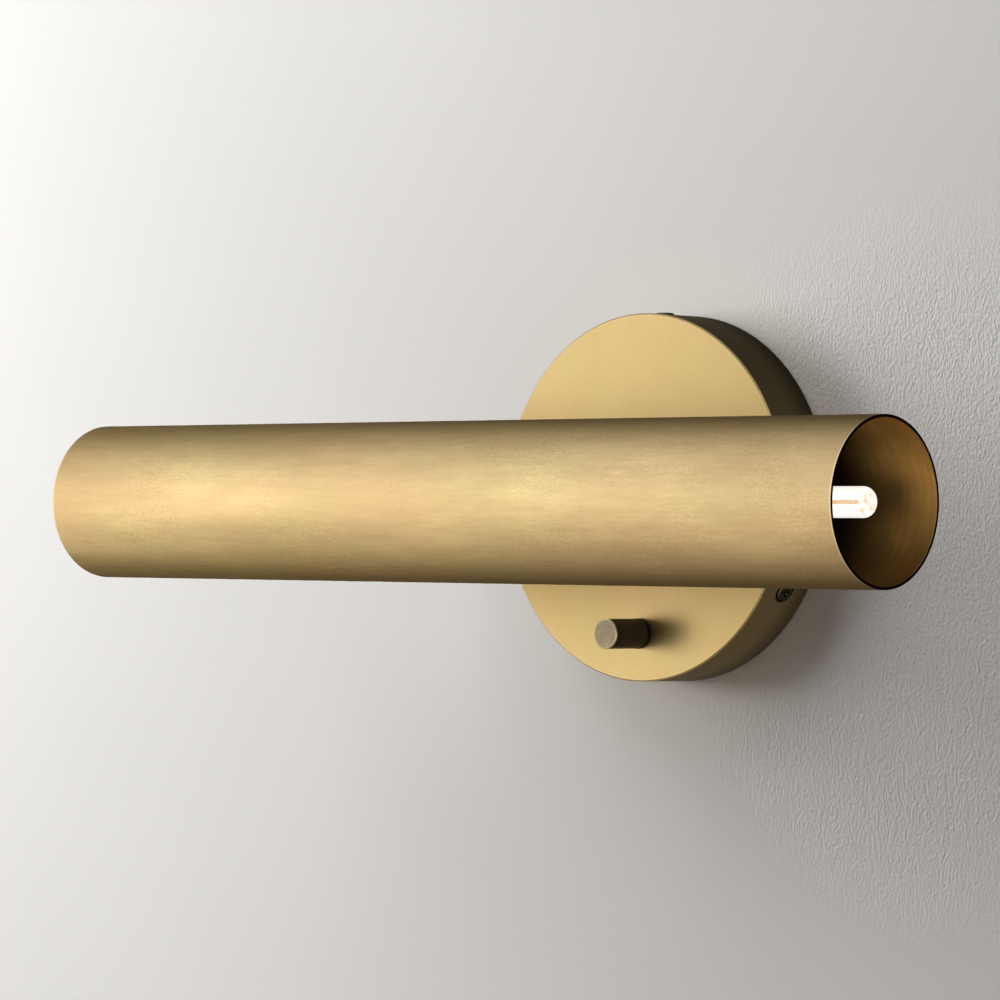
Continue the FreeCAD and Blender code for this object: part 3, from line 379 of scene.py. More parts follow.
tint, given, result = effect(
    "tint",
    {"Clouds": ("Vector", (15, 30, 30)), "Strength": ("Float", 1.0)},
    {"Color": "Color"})
place = object_place(tint)
wide = add(tint, "ShaderNodeMapping", Vector=place, Scale=given["Clouds"], Location=TINT_SHIFT)
cloud = add(tint, "ShaderNodeTexNoise", Vector=wide.outputs[0], Scale=1.0, Detail=3.0, Roughness=0.55)
hue = mix_colour(tint, ramp(tint, cloud.outputs[0], 0.35, 0.65), PINKISH, GREENISH)
tint.links.new(mix_colour(tint, given["Strength"], (1, 1, 1, 1), hue), result["Color"])

# %% [markdown]
# ### Specks and grain
#
# Age leaves tiny dark pits, and a rubbed surface keeps a sandy grain in patches. Specks takes the
# middles of some Voronoi cells. Grain is fine noise that fades in and out with a broad one.

# %% Specks
PIT_CORE = 0.4
SHARE_WITHOUT_PITS = 0.72

specks, given, result = effect(
    "specks",
    {"Per Metre": ("Float", 220.0), "Size": ("Float", 0.09)},
    {"Mask": "Float"})
place = object_place(specks)
cells = add(specks, "ShaderNodeTexVoronoi", Vector=place, Scale=given["Per Metre"], Randomness=1.0)
core = maths(specks, "MULTIPLY", given["Size"], PIT_CORE)
dot = ramp(specks, cells.outputs["Distance"], given["Size"], core)
chance = add(specks, "ShaderNodeSeparateColor", Color=cells.outputs["Color"]).outputs[0]
pitted = maths(specks, "GREATER_THAN", chance, SHARE_WITHOUT_PITS)
specks.links.new(maths(specks, "MULTIPLY", dot, pitted), result["Mask"])

# %% Grain
grain, given, result = effect(
    "grain",
    {"Cells": ("Vector", (800, 1500, 1500)), "Clouds": ("Float", 20.0)},
    {"Shade": "Float", "Height": "Float"})
place = object_place(grain)
cells = add(grain, "ShaderNodeMapping", Vector=place, Scale=given["Cells"]).outputs[0]
sand = add(
    grain, "ShaderNodeTexNoise", Vector=cells, Scale=1.0, Detail=2.0, Roughness=0.6, Distortion=0.6)
where = add(grain, "ShaderNodeTexNoise", Vector=place, Scale=given["Clouds"], Detail=2.0).outputs[0]
amount = ramp(grain, where, 0.42, 0.62)
centred = maths(grain, "MULTIPLY", maths(grain, "SUBTRACT", sand.outputs[0], 0.5), amount)
grain.links.new(maths(grain, "ADD", centred, 0.5), result["Shade"])
grain.links.new(centred, result["Height"])

# %% [markdown]
# ### Edge band and distance from a line
#
# A bright line painted along an edge stands in for a highlight there, so edge band is a narrow band
# round one distance. All the pieces here are round, so a finish often asks how far a point is from a
# piece's middle line, and how far along that line. The second effect answers both.

# %% Edge band
edge_band, given, result = effect(
    "edge band",
    {"Distance": ("Float", 0.0), "Edge": ("Float", 0.0), "Width": ("Float", 0.001)},
    {"Mask": "Float"})
away = maths(edge_band, "ABSOLUTE", maths(edge_band, "SUBTRACT", given["Distance"], given["Edge"]))
band = maths(edge_band, "SUBTRACT", 1.0, maths(edge_band, "DIVIDE", away, given["Width"]), clamp=True)
edge_band.links.new(band, result["Mask"])

# %% Distance from a line
line_distance, given, result = effect(
    "distance from a line",
    {"Point": ("Vector", (0, 0, 0)), "Direction": ("Vector", (1, 0, 0))},
    {"Distance": "Float", "Along": "Float"})
offset = vectors(line_distance, "SUBTRACT", object_place(line_distance), given["Point"]).outputs[0]
across = vectors(line_distance, "CROSS_PRODUCT", offset, given["Direction"]).outputs[0]
line_distance.links.new(vectors(line_distance, "LENGTH", across).outputs["Value"], result["Distance"])
along = vectors(line_distance, "DOT_PRODUCT", offset, given["Direction"]).outputs["Value"]
line_distance.links.new(along, result["Along"])
print("effects:", [g.name for g in bpy.data.node_groups])

# %% [markdown]
# ## Starting a finish
#
# Every finish is one Principled shader with the effects wired into it. One helper starts the
# material, and another raises its surface by a height.

# %% Start a material
ALONG_X = (1, 0, 0)
ALONG_Y = (0, 1, 0)


def start(name, metallic=0.0, roughness=0.5, **sockets):
    """A material with one Principled shader."""
    material = bpy.data.materials.new(name)
    material.use_nodes = True
    tree = material.node_tree
    shader = tree.nodes["Principled BSDF"]
    shader.inputs["Metallic"].default_value = metallic
    plug(tree, shader.inputs["Roughness"], roughness)
    for key, value in sockets.items():
        plug(tree, shader.inputs[key.replace("_", " ")], value)
    return material, tree, shader


def bump(tree, shader, height, strength, distance):
    """Raise the surface by a height."""
    node = add(tree, "ShaderNodeBump", Height=height, Strength=strength, Distance=distance)
    tree.links.new(node.outputs[0], shader.inputs["Normal"])


# %% [markdown]
# ## The tube's brass
#
# The tube's outside is brushed along its length and its inside round and round, and its cut ends
# are painted nearly black as shade. Three materials on three groups of faces could show that, but one
# material that looks up how far a point is from the tube's middle line needs no seams. The inside's
# brass is brightened as painted lamplight, and it carries painted shade deep in the tube and low down
# and a painted shadow beside the lamp. A painted highlight runs along the outer edge of each end.

# %% The outside of the tube
TUBE_BRIGHT = (0.80, 0.63, 0.35, 1)
TUBE_DULL = (0.64, 0.49, 0.265, 1)
EDGE_BRIGHT = (0.95, 0.80, 0.52, 1)
PIT_DARK = (0.06, 0.04, 0.02, 1)
PIT_COVER = 0.55
SAND_RISE = 4.0
LINE_RISE = 0.5


def tube_outside(tree, depth):
    """The colour, with a painted highlight along the end edges, the dullness and the relief of the tube's
    outside.
    """
    aged = use(tree, patina, Bright=TUBE_BRIGHT, Dull=TUBE_DULL, Clouds=(11, 40, 40), Cover=0.5)
    hue = use(tree, tint, Clouds=(12, 30, 30), Strength=0.65)
    lines = use(tree, brushing, Lines=(120, 1700, 1700), Contrast=1.6)
    sand = use(tree, grain, Cells=(750, 1500, 1500), Clouds=18.0)
    pits = use(tree, specks, Per_Metre=110.0, Size=0.045)
    tone = shaded(tree, aged["Color"], hue["Color"])
    tone = shaded(tree, tone, spread(tree, lines["Line"], 0.84, 1.13))
    tone = shaded(tree, tone, spread(tree, sand["Shade"], 0.72, 1.24))
    tone = mix_colour(tree, maths(tree, "MULTIPLY", pits["Mask"], PIT_COVER), tone, PIT_DARK)
    # A painted highlight just inside each end's outer edge.
    rim_glint = use(tree, edge_band, Distance=depth, Edge=0.35 * MM, Width=0.45 * MM)
    tone = mix_colour(tree, rim_glint["Mask"], tone, EDGE_BRIGHT)
    dullness = maths(tree, "ADD", aged["Mask"], lines["Line"])
    line_rise = maths(tree, "MULTIPLY", lines["Height"], LINE_RISE)
    rise = maths(tree, "MULTIPLY_ADD", sand["Height"], SAND_RISE, line_rise)
    return tone, dullness, rise


# %% The inside of the tube
# The inside's brass colour, brightened and warmed as painted lamplight.
LAMPLIT_INSIDE = (1.0, 0.56, 0.17, 1)
LAMPLIT_INSIDE_DULL = (0.74, 0.45, 0.13, 1)
SHADOWED = (0.02, 0.013, 0.006, 1)
LAMP_SHADOW_RISE = 2 * MM
LAMP_SHADOW_COVER = 0.70
DEEP_SHADE_COVER = 0.985
LOW_SHADE_COVER = 0.68
LIP_COVER = 0.6


def tube_inside(tree, depth):
    """The colour, with painted lamplight, painted shade and a painted shadow of the lamp, and the turned
    rings of the tube's inside.
    """
    rings = use(tree, brushing, Lines=(2600, 70, 70), Contrast=1.5)
    blotches = use(
        tree, patina, Bright=LAMPLIT_INSIDE, Dull=LAMPLIT_INSIDE_DULL, Clouds=(60, 60, 60), Cover=0.5)
    tone = shaded(tree, blotches["Color"], spread(tree, rings["Line"], 0.6, 1.35))
    # A painted shadow of the lamp, level with it and beside it.
    level = add(tree, "ShaderNodeSeparateXYZ", Vector=object_place(tree)).outputs["Z"]
    from_lamp = maths(tree, "ABSOLUTE", maths(tree, "SUBTRACT", level, tube_axis.z + LAMP_SHADOW_RISE))
    level_with_lamp = ramp(tree, from_lamp, 17 * MM, 1 * MM)
    lamp_shadow = maths(tree, "MULTIPLY", level_with_lamp, ramp(tree, depth, 1 * MM, 20 * MM))
    tone = mix_colour(tree, maths(tree, "MULTIPLY", lamp_shadow, LAMP_SHADOW_COVER), tone, SHADOWED)
    # Painted shade, deeper in the tube.
    tone = mix_colour(tree, ramp(tree, depth, 3 * MM, 46 * MM, 0.0, DEEP_SHADE_COVER), tone, SHADOWED)
    # Painted shade, low down in the tube.
    low = ramp(tree, level, tube_axis.z - 24 * MM, tube_axis.z + 18 * MM, LOW_SHADE_COVER, 0.0)
    tone = mix_colour(tree, low, tone, SHADOWED)
    lip = use(tree, edge_band, Distance=depth, Edge=0.3 * MM, Width=0.3 * MM)
    tone = mix_colour(tree, maths(tree, "MULTIPLY", lip["Mask"], LIP_COVER), tone, TUBE_DULL)
    return tone, rings["Height"]


# %% The tube's finish
CUT_FACE_SHADE = (0.022, 0.014, 0.008, 1)
TARNISHED_EDGE = (0.23, 0.20, 0.17, 1)
TUBE_GLOSSIEST, TUBE_DULLEST = 0.38, 0.50
INSIDE_DULLER = 0.14


def tube_brass():
    """Outside, inside and cut ends, told apart by the distance from the tube's middle line."""
    material, tree, shader = start("aged tube brass", metallic=1.0, Specular_Tint=TARNISHED_EDGE)
    reach = use(tree, line_distance, Point=tuple(tube_axis), Direction=ALONG_X)
    depth = maths(tree, "SUBTRACT", tube_end, maths(tree, "ABSOLUTE", reach["Along"]))
    within = ramp(tree, reach["Distance"], tube_radius - 0.3 * MM, tube_inner + 0.15 * MM)
    tone, dullness, rise = tube_outside(tree, depth)
    inner, rings = tube_inside(tree, depth)
    skin = mix_colour(tree, within, tone, inner)
    # The cut ends are painted nearly black as shade.
    cut = ramp(tree, depth, 0.10 * MM, 0.02 * MM)
    tree.links.new(mix_colour(tree, cut, skin, CUT_FACE_SHADE), shader.inputs["Base Color"])
    rough = ramp(tree, dullness, 0.2, 1.8, TUBE_GLOSSIEST, TUBE_DULLEST, smooth=False)
    tree.links.new(maths(tree, "MULTIPLY_ADD", within, INSIDE_DULLER, rough), shader.inputs["Roughness"])
    rise = maths(tree, "MULTIPLY", rise, maths(tree, "SUBTRACT", 1.0, within))
    bump(tree, shader, maths(tree, "MULTIPLY_ADD", rings, within, rise), 0.30, 0.03 * MM)
    return material


# %% [markdown]
# ## Satin brass
#
# The cup, the arm and the knob were rubbed in no one direction and then left to age. They share one
# recipe: clouded patina, a faint tint, and fine brushing that shades both the colour and the gloss.

# %% Satin brass
def plain_brass(name, bright, dull, rough, lines, clouds=(18, 18, 18), cover=0.45, lift=0.2):
    """Satin brass with clouded patina and fine brushing: material, tree, shader and colour."""
    material, tree, shader = start(name, metallic=1.0)
    aged = use(tree, patina, Bright=bright, Dull=dull, Clouds=clouds, Cover=cover)
    hue = use(tree, tint, Clouds=clouds, Strength=0.8)
    rubbed = use(tree, brushing, Lines=lines, Contrast=1.2)
    colour = shaded(tree, aged["Color"], hue["Color"])
    colour = shaded(tree, colour, spread(tree, rubbed["Line"], 0.94, 1.05))
    tree.links.new(colour, shader.inputs["Base Color"])
    tree.links.new(spread(tree, rubbed["Line"], rough - 0.04, rough + 0.05), shader.inputs["Roughness"])
    bump(tree, shader, rubbed["Height"], lift, 0.02 * MM)
    return material, tree, shader, colour


# %% [markdown]
# ### The cup's brass
#
# The cup's face is pale and its rim is painted a little lighter and warmer, as painted light. The rim
# carries painted shade towards the wall and in the seats of its three screws, and a painted highlight
# runs along the front edge.

# %% Painted shade in the cup's screw seats
RIM_SCREW_ANGLES = (90, 210, 330)
RIM_SCREW_SEAT = 5.0 * MM
SEAT_SHADE_COVER = 0.85


def screw_seat_shade(tree):
    """A mask of painted shade in the round seats of the screws in the cup's rim."""
    seats = 0.0
    middle = (screw_low.y + screw_high.y) / 2
    for angle in RIM_SCREW_ANGLES:
        turn = math.radians(angle)
        towards = (math.cos(turn), 0, math.sin(turn))
        to_screw = use(tree, line_distance, Point=(0, middle, 0), Direction=towards)
        ahead = ramp(tree, to_screw["Along"], 0.0, 10 * MM)
        ring = ramp(tree, to_screw["Distance"], RIM_SCREW_SEAT + 0.5 * MM, RIM_SCREW_SEAT - 0.3 * MM)
        seats = maths(tree, "MAXIMUM", seats, maths(tree, "MULTIPLY", ring, ahead))
    return maths(tree, "MULTIPLY", seats, SEAT_SHADE_COVER)


# %% The cup's finish
CUP_BRIGHT = (0.51, 0.39, 0.195, 1)
CUP_DULL = (0.45, 0.34, 0.16, 1)
CUP_RIM_LIT = (0.65, 0.49, 0.23, 1)
CUP_ROUGH = 0.36
FRONT_HIGHLIGHT_COVER = 0.15
WALL_SHADE_COVER = 0.62


def cup_brass():
    """Pale on the face, painted light on the rim, a painted highlight at the front edge, and painted
    shade in the screw seats and towards the wall.
    """
    material, tree, shader, colour = plain_brass(
        "aged cup brass", CUP_BRIGHT, CUP_DULL, CUP_ROUGH, (900, 900, 900), clouds=(13, 13, 13), lift=0.1)
    reach = use(tree, line_distance, Point=(0, 0, 0), Direction=ALONG_Y)
    side = ramp(tree, reach["Distance"], cup_radius - 0.9 * MM, cup_radius - 0.3 * MM)
    behind = ramp(tree, reach["Along"], cup_front + 0.2 * MM, cup_front + 0.8 * MM)
    # The rim is painted lighter and warmer than the face, as painted light.
    tone = mix_colour(tree, maths(tree, "MULTIPLY", side, behind), colour, CUP_RIM_LIT)
    # A painted highlight along the front edge.
    edge = use(tree, edge_band, Distance=reach["Distance"], Edge=cup_radius - 0.5 * MM, Width=0.6 * MM)
    front = maths(tree, "MULTIPLY", edge["Mask"], maths(tree, "SUBTRACT", 1.0, behind))
    tone = mix_colour(tree, maths(tree, "MULTIPLY", front, FRONT_HIGHLIGHT_COVER), tone, EDGE_BRIGHT)
    # Painted shade on the rim towards the wall.
    to_wall = ramp(tree, reach["Along"], -15 * MM, 0.0, 0.0, WALL_SHADE_COVER)
    tone = mix_colour(tree, maths(tree, "MULTIPLY", side, to_wall), tone, SHADOWED)
    # Painted shade in the screw seats.
    tree.links.new(mix_colour(tree, screw_seat_shade(tree), tone, SHADOWED), shader.inputs["Base Color"])
    return material


# %% [markdown]
# ### The knob's brass
#
# The grooves between the diamonds and the plain band at the back are painted near black as shade.
# The face is grey with age and its turned edge carries a painted highlight. All of it follows from
# the distance to the knob's middle line, because a groove is nearer to that line than a crest.

# %% The knob's finish
KNOB_CREST = (0.42, 0.33, 0.18, 1)
KNOB_CREST_DULL = (0.30, 0.235, 0.125, 1)
KNURL_GROOVE_SHADE = (0.012, 0.009, 0.005, 1)
KNOB_FACE = (0.27, 0.22, 0.15, 1)
KNOB_FACE_DULL = (0.19, 0.16, 0.11, 1)
KNOB_ROUGH = 0.34


def knob_brass():
    """Painted shade between the diamonds and at the back, grey with age on the face and a painted
    highlight at the edge.
    """
    material, tree, shader, crest_colour = plain_brass(
        "aged knob brass", KNOB_CREST, KNOB_CREST_DULL, KNOB_ROUGH, (1200, 1200, 1200),
        clouds=(150, 150, 150))
    reach = use(tree, line_distance, Point=tuple(knob_axis), Direction=ALONG_Y)
    front_end = knob_low.y - knob_axis.y
    back_end = knob_high.y - knob_axis.y
    on_crest = ramp(tree, reach["Distance"], knob_radius - 0.15 * MM, knob_radius - 0.03 * MM)
    # Painted shade in the plain band at the back, by the cup.
    to_back = ramp(tree, reach["Along"], back_end - 1.4 * MM, back_end - 0.7 * MM)
    on_crest = maths(tree, "MULTIPLY", on_crest, maths(tree, "SUBTRACT", 1.0, to_back))
    # Painted shade in the grooves.
    side = mix_colour(tree, on_crest, KNURL_GROOVE_SHADE, crest_colour)
    face = use(tree, patina, Bright=KNOB_FACE, Dull=KNOB_FACE_DULL, Clouds=(420, 420, 420), Cover=0.5)
    on_face = ramp(tree, reach["Along"], front_end + 0.3 * MM, front_end + 0.1 * MM)
    tone = mix_colour(tree, on_face, side, face["Color"])
    # A painted highlight along the turned front edge.
    edge = use(tree, edge_band, Distance=reach["Distance"], Edge=knob_radius - 0.3 * MM, Width=0.35 * MM)
    near_front = ramp(tree, reach["Along"], front_end + 0.9 * MM, front_end + 0.4 * MM)
    edge_glint = maths(tree, "MULTIPLY", edge["Mask"], near_front)
    tree.links.new(mix_colour(tree, edge_glint, tone, EDGE_BRIGHT), shader.inputs["Base Color"])
    return material


# %% [markdown]
# ## The lit lamp
#
# A lit capsule is a bright white shape in which the filament shows as a thin tan line. Real glass
# with a lamp inside is slow to render and noisy, so the glass paints the light itself: the inner
# skin of its far side glows, and the near side is clear in the middle and white where it curves
# away. A warm haze near the tip stands for the last turn of the wire.

# %% The lamp's glass
LAMP_GLASS_INSIDE = 5.3 * MM
GLASS_BASE = (0.2, 0.19, 0.17, 1)
NEAR_GLASS_GLOW = (0.90, 0.86, 0.80, 1)
WHITE_GLOW = (1.0, 0.97, 0.90, 1)
HAZE_GLOW = (1.0, 0.66, 0.38, 1)
CLEAREST = 0.05


def lit_glass():
    """Glass full of light: the far side glows, and the near side is clear and shows the filament."""
    material, tree, shader = start("lit lamp glass", roughness=0.06, Base_Color=GLASS_BASE)
    reach = use(tree, line_distance, Point=tuple(tube_axis), Direction=ALONG_X)
    facing_away = add(tree, "ShaderNodeNewGeometry").outputs["Backfacing"]
    inside = maths(tree, "LESS_THAN", reach["Distance"], LAMP_GLASS_INSIDE)
    far_side = maths(tree, "MULTIPLY", inside, maths(tree, "SUBTRACT", 1.0, facing_away))
    slant = add(tree, "ShaderNodeLayerWeight", Blend=0.5).outputs["Facing"]
    near_cover = ramp(tree, slant, 0.35, 0.80, CLEAREST, 1.0)
    tree.links.new(maths(tree, "MAXIMUM", far_side, near_cover), shader.inputs["Alpha"])
    haze = add(tree, "ShaderNodeTexNoise", Vector=object_place(tree), Scale=420.0, Detail=2.0)
    tip = ramp(tree, maths(tree, "ABSOLUTE", reach["Along"]), lamp_tip - 6 * MM, lamp_tip - 1 * MM)
    warm = maths(tree, "MULTIPLY", tip, ramp(tree, haze.outputs[0], 0.5, 0.68))
    glow = mix_colour(tree, warm, WHITE_GLOW, HAZE_GLOW)
    tree.links.new(mix_colour(tree, far_side, NEAR_GLASS_GLOW, glow), shader.inputs["Emission Color"])
    shader.inputs["Emission Strength"].default_value = 1.0
    return material


# %% The lamp's filament
FILAMENT_BASE = (0.02, 0.012, 0.006, 1)
COIL_DIM = (0.80, 0.42, 0.18, 1)
COIL_BRIGHT = (0.95, 0.72, 0.42, 1)
WIRE_GLOW = (1.0, 0.98, 0.93, 1)
FILAMENT_STRENGTH = 0.9


def glowing():
    """The filament is a little dimmer and warmer than the glass behind it, and its wire is white."""
    material, tree, shader = start("glowing filament", roughness=0.8, Base_Color=FILAMENT_BASE)
    coils = add(tree, "ShaderNodeTexNoise", Vector=object_place(tree), Scale=1500.0, Detail=2.0)
    glow = mix_colour(tree, ramp(tree, coils.outputs[0], 0.35, 0.65), COIL_DIM, COIL_BRIGHT)
    reach = use(tree, line_distance, Point=tuple(tube_axis), Direction=ALONG_X)
    on_wire = ramp(tree, reach["Distance"], 1.2 * MM, 2.0 * MM)
    tree.links.new(mix_colour(tree, on_wire, glow, WIRE_GLOW), shader.inputs["Emission Color"])
    shader.inputs["Emission Strength"].default_value = FILAMENT_STRENGTH
    return material


# %% [markdown]
# ## The small pieces
#
# Screws, washers, the plate, the mouldings and the wires are seen only through the mouth of the
# tube, in the screw seats and from behind. Each has one colour with a slight unevenness in shade
# and gloss, which is enough at that size. One recipe serves them all, with a row of numbers each.

# %% Small pieces
def turned(name, colour, rough, metallic=1.0, uneven=0.12, fineness=900):
    """A plain piece with slight unevenness in colour and gloss."""
    material, tree, shader = start(name, metallic=metallic)
    lines = use(tree, brushing, Lines=(fineness, fineness, fineness), Contrast=1.2)
    shade = spread(tree, lines["Line"], 1 - uneven, 1 + uneven)
    tree.links.new(shaded(tree, colour, shade), shader.inputs["Base Color"])
    tree.links.new(spread(tree, lines["Line"], rough - 0.06, rough + 0.08), shader.inputs["Roughness"])
    bump(tree, shader, lines["Height"], 0.2, 0.02 * MM)
    return material


# %% Every finish
ARM_BRIGHT = (0.60, 0.45, 0.23, 1)
ARM_DULL = (0.45, 0.33, 0.16, 1)
ARM_ROUGH = 0.34
ROUND_THE_ARM = (1800, 90, 1800)

FINISHES = {
    "shade_brass": tube_brass(),
    "canopy_brass": cup_brass(),
    "arm_brass": plain_brass("aged arm brass", ARM_BRIGHT, ARM_DULL, ARM_ROUGH, ROUND_THE_ARM)[0],
    "knob_brass": knob_brass(),
    "screw_brass": turned("dark screw brass", (0.13, 0.10, 0.065, 1), 0.30),
    "nut_brass": turned("turned brass", (0.75, 0.58, 0.30, 1), 0.28),
    "plate_steel": turned("plated plate", (0.55, 0.55, 0.54, 1), 0.38, fineness=60),
    "bracket_steel": turned("plated strip", (0.52, 0.52, 0.51, 1), 0.36),
    "nipple_steel": turned("plated rod", (0.50, 0.49, 0.47, 1), 0.34),
    "zinc_screw": turned("plated screw", (0.62, 0.62, 0.60, 1), 0.30),
    "black_steel": turned("black steel", (0.03, 0.03, 0.03, 1), 0.45),
    "shaft_steel": turned("turned steel", (0.56, 0.55, 0.54, 1), 0.26),
    "pin_steel": turned("pin wire", (0.66, 0.66, 0.65, 1), 0.25),
    "tinned_steel": turned("tinned lug", (0.70, 0.70, 0.68, 1), 0.30),
    "saddle_aluminium": turned("cast saddle", (0.68, 0.68, 0.69, 1), 0.42),
    "holder_ceramic": turned("holder ceramic", (0.78, 0.76, 0.70, 1), 0.55, metallic=0.0, uneven=0.05),
    "lamp_ceramic": turned("lamp ceramic", (0.82, 0.80, 0.75, 1), 0.45, metallic=0.0, uneven=0.04),
    "lamp_glass": lit_glass(),
    "filament": glowing(),
    "dimmer_plastic": turned("black moulding", (0.03, 0.03, 0.03, 1), 0.5, metallic=0.0),
    "board": turned("circuit board", (0.05, 0.18, 0.08, 1), 0.4, metallic=0.0),
    "terminal_plastic": turned("pale moulding", (0.75, 0.74, 0.68, 1), 0.45, metallic=0.0, uneven=0.04),
    "live_sleeve": turned("brown sleeve", (0.13, 0.055, 0.025, 1), 0.5, metallic=0.0),
    "neutral_sleeve": turned("blue sleeve", (0.03, 0.09, 0.35, 1), 0.5, metallic=0.0),
    "earth_sleeve": turned("green sleeve", (0.12, 0.30, 0.04, 1), 0.5, metallic=0.0),
}

# %% Give every frame piece its finish
for entry in frame["record"]["subparts"]:
    for holder in nodes[entry["node"]].material_slots:
        holder.material = FINISHES[entry["material_slot"]]
print("finishes:", len(FINISHES))

# %% [markdown]
# ## The wall and the floor
#
# The stage is a pale plaster wall and a pale floor. The wall has a round opening behind the cup,
# like the box that such a light is screwed to, and both are clear when seen from behind, so a
# camera behind the wall still sees the light's back. The plaster is roughest in one patch to the
# right of the cup, where low light picks out its grain, and smooth elsewhere. The floor doesn't
# light the wall, because a pale floor this wide would wash out the shadows.

# %% The stage's finish
ROUGH_PATCH = (0.125, 0, -0.03)
PATCH_EDGE, PATCH_CORE = 0.17, 0.08
SMOOTHEST = 0.08
GRAIN_HEIGHT = 0.6


def stage_material(name, colour, fineness, strength):
    """Matt plaster that a camera behind it doesn't see."""
    material, tree, shader = start(name, roughness=0.85)
    place = object_place(tree)
    per_metre = (fineness, fineness, GRAIN_HEIGHT * fineness)
    cells = add(tree, "ShaderNodeMapping", Vector=place, Scale=per_metre).outputs[0]
    rough = add(tree, "ShaderNodeTexNoise", Vector=cells, Scale=1.0, Detail=3.0, Roughness=0.5)
    reach = use(tree, line_distance, Point=ROUGH_PATCH, Direction=ALONG_Y)
    patch = ramp(tree, reach["Distance"], PATCH_EDGE, PATCH_CORE, SMOOTHEST, 1.0)
    stain = add(tree, "ShaderNodeTexNoise", Vector=place, Scale=3.0, Detail=3.0).outputs[0]
    tone = shaded(tree, colour, ramp(tree, stain, 0.3, 0.7, 0.97, 1.02))
    tree.links.new(tone, shader.inputs["Base Color"])
    bump(tree, shader, maths(tree, "MULTIPLY", rough.outputs[0], patch), strength, 1.0 * MM)
    behind = add(tree, "ShaderNodeNewGeometry").outputs["Backfacing"]
    eye = add(tree, "ShaderNodeLightPath").outputs["Is Camera Ray"]
    mixer = tree.nodes.new("ShaderNodeMixShader")
    plug(tree, mixer.inputs[0], maths(tree, "MULTIPLY", behind, eye))
    plug(tree, mixer.inputs[1], shader.outputs[0])
    plug(tree, mixer.inputs[2], add(tree, "ShaderNodeBsdfTransparent").outputs[0])
    tree.links.new(mixer.outputs[0], tree.nodes["Material Output"].inputs["Surface"])
    return material


# %% Make the stage
WALL_GAP = 0.3 * MM
WALL_SIZE = 6.0
WALL_STEPS = 96
OPENING_INSET = 0.5 * MM
FLOOR_SIZE = 15.0
FLOOR_DROP = 1.35
PLASTER = (0.80, 0.795, 0.785, 1)
PALE_FLOOR = (0.78, 0.77, 0.75, 1)


def finished(mesh_data, name, angle=35):
    """A new object from a bmesh, smooth but for edges sharper than an angle in degrees."""
    mesh = bpy.data.meshes.new(name)
    mesh_data.to_mesh(mesh)
    mesh_data.free()
    mesh.polygons.foreach_set("use_smooth", [True] * len(mesh.polygons))
    mesh.set_sharp_from_angle(angle=math.radians(angle))
    piece = bpy.data.objects.new(name, mesh)
    scene.collection.objects.link(piece)
    return piece


def make_wall():
    """A round sheet of wall with a round opening in the middle, facing the room."""
    work = bmesh.new()
    inner = bmesh.ops.create_circle(work, segments=WALL_STEPS, radius=cup_radius - OPENING_INSET)
    outer = bmesh.ops.create_circle(work, segments=WALL_STEPS, radius=WALL_SIZE)
    rims = [e for ring in (inner, outer) for v in ring["verts"] for e in v.link_edges]
    bmesh.ops.bridge_loops(work, edges=list(set(rims)))
    bmesh.ops.rotate(work, verts=work.verts, matrix=Matrix.Rotation(math.radians(90), 3, "X"))
    bmesh.ops.translate(work, verts=work.verts, vec=(0, WALL_GAP, 0))
    for face in work.faces:
        face.normal_update()
        if face.normal.y > 0:
            face.normal_flip()
    return finished(work, "wall")


def make_floor():
    """One flat square below the light."""
    work = bmesh.new()
    bmesh.ops.create_grid(work, x_segments=1, y_segments=1, size=FLOOR_SIZE)
    bmesh.ops.translate(work, verts=work.verts, vec=(0, 0, -FLOOR_DROP))
    return finished(work, "floor")


wall = make_wall()
wall.data.materials.append(stage_material("plaster", PLASTER, fineness=1100.0, strength=0.8))
wall.visible_glossy = False
floor = make_floor()
floor.data.materials.append(stage_material("floor", PALE_FLOOR, fineness=200.0, strength=0.1))
floor.visible_glossy = False
floor.visible_diffuse = False

# %% [markdown]
# ## The room's own light
#
# What brass shows is the room around it. The room could be modelled, but a brightness that depends
# on direction does the same with a few numbers: one broad glow where the tube and the cup mirror
# the camera, a weaker one to the other side for the rim and the knob, and almost nothing elsewhere.
# Rough things get one low even light instead, so that the wall keeps its shadows.

# %% The room
GLOW = 1.15
AMBIENT = 0.14
SEEN = 0.78
MAIN_FROM, MAIN_TO = -0.09, 0.95
OTHER_WAY = (-MIRRORED_VIEW.x, MIRRORED_VIEW.y, 0)
OTHER_FROM, OTHER_TO = 0.15, 1.0
OTHER_PEAK = 0.75
BRIGHTER_ABOVE = 0.24
LEAST_GLOW, LESS_ABOVE = 0.07, -0.06
ROOM_LOW = (1.0, 0.90, 0.76, 1)
ROOM_HIGH = (1.0, 0.985, 0.96, 1)
ALL_LOW, ALL_HIGH = -0.9, 0.6
SHADE_TINT = (1.0, 0.91, 0.90, 1)

world = bpy.data.worlds.new("room")
scene.world = world
world.use_nodes = True
sky = world.node_tree
background = sky.nodes["Background"]
ray = add(sky, "ShaderNodeLightPath").outputs
outward = add(sky, "ShaderNodeTexCoord").outputs["Generated"]
height = add(sky, "ShaderNodeSeparateXYZ", Vector=outward).outputs["Z"]


def faces(direction):
    """How directly a ray goes in a direction."""
    return vectors(sky, "DOT_PRODUCT", outward, direction).outputs["Value"]


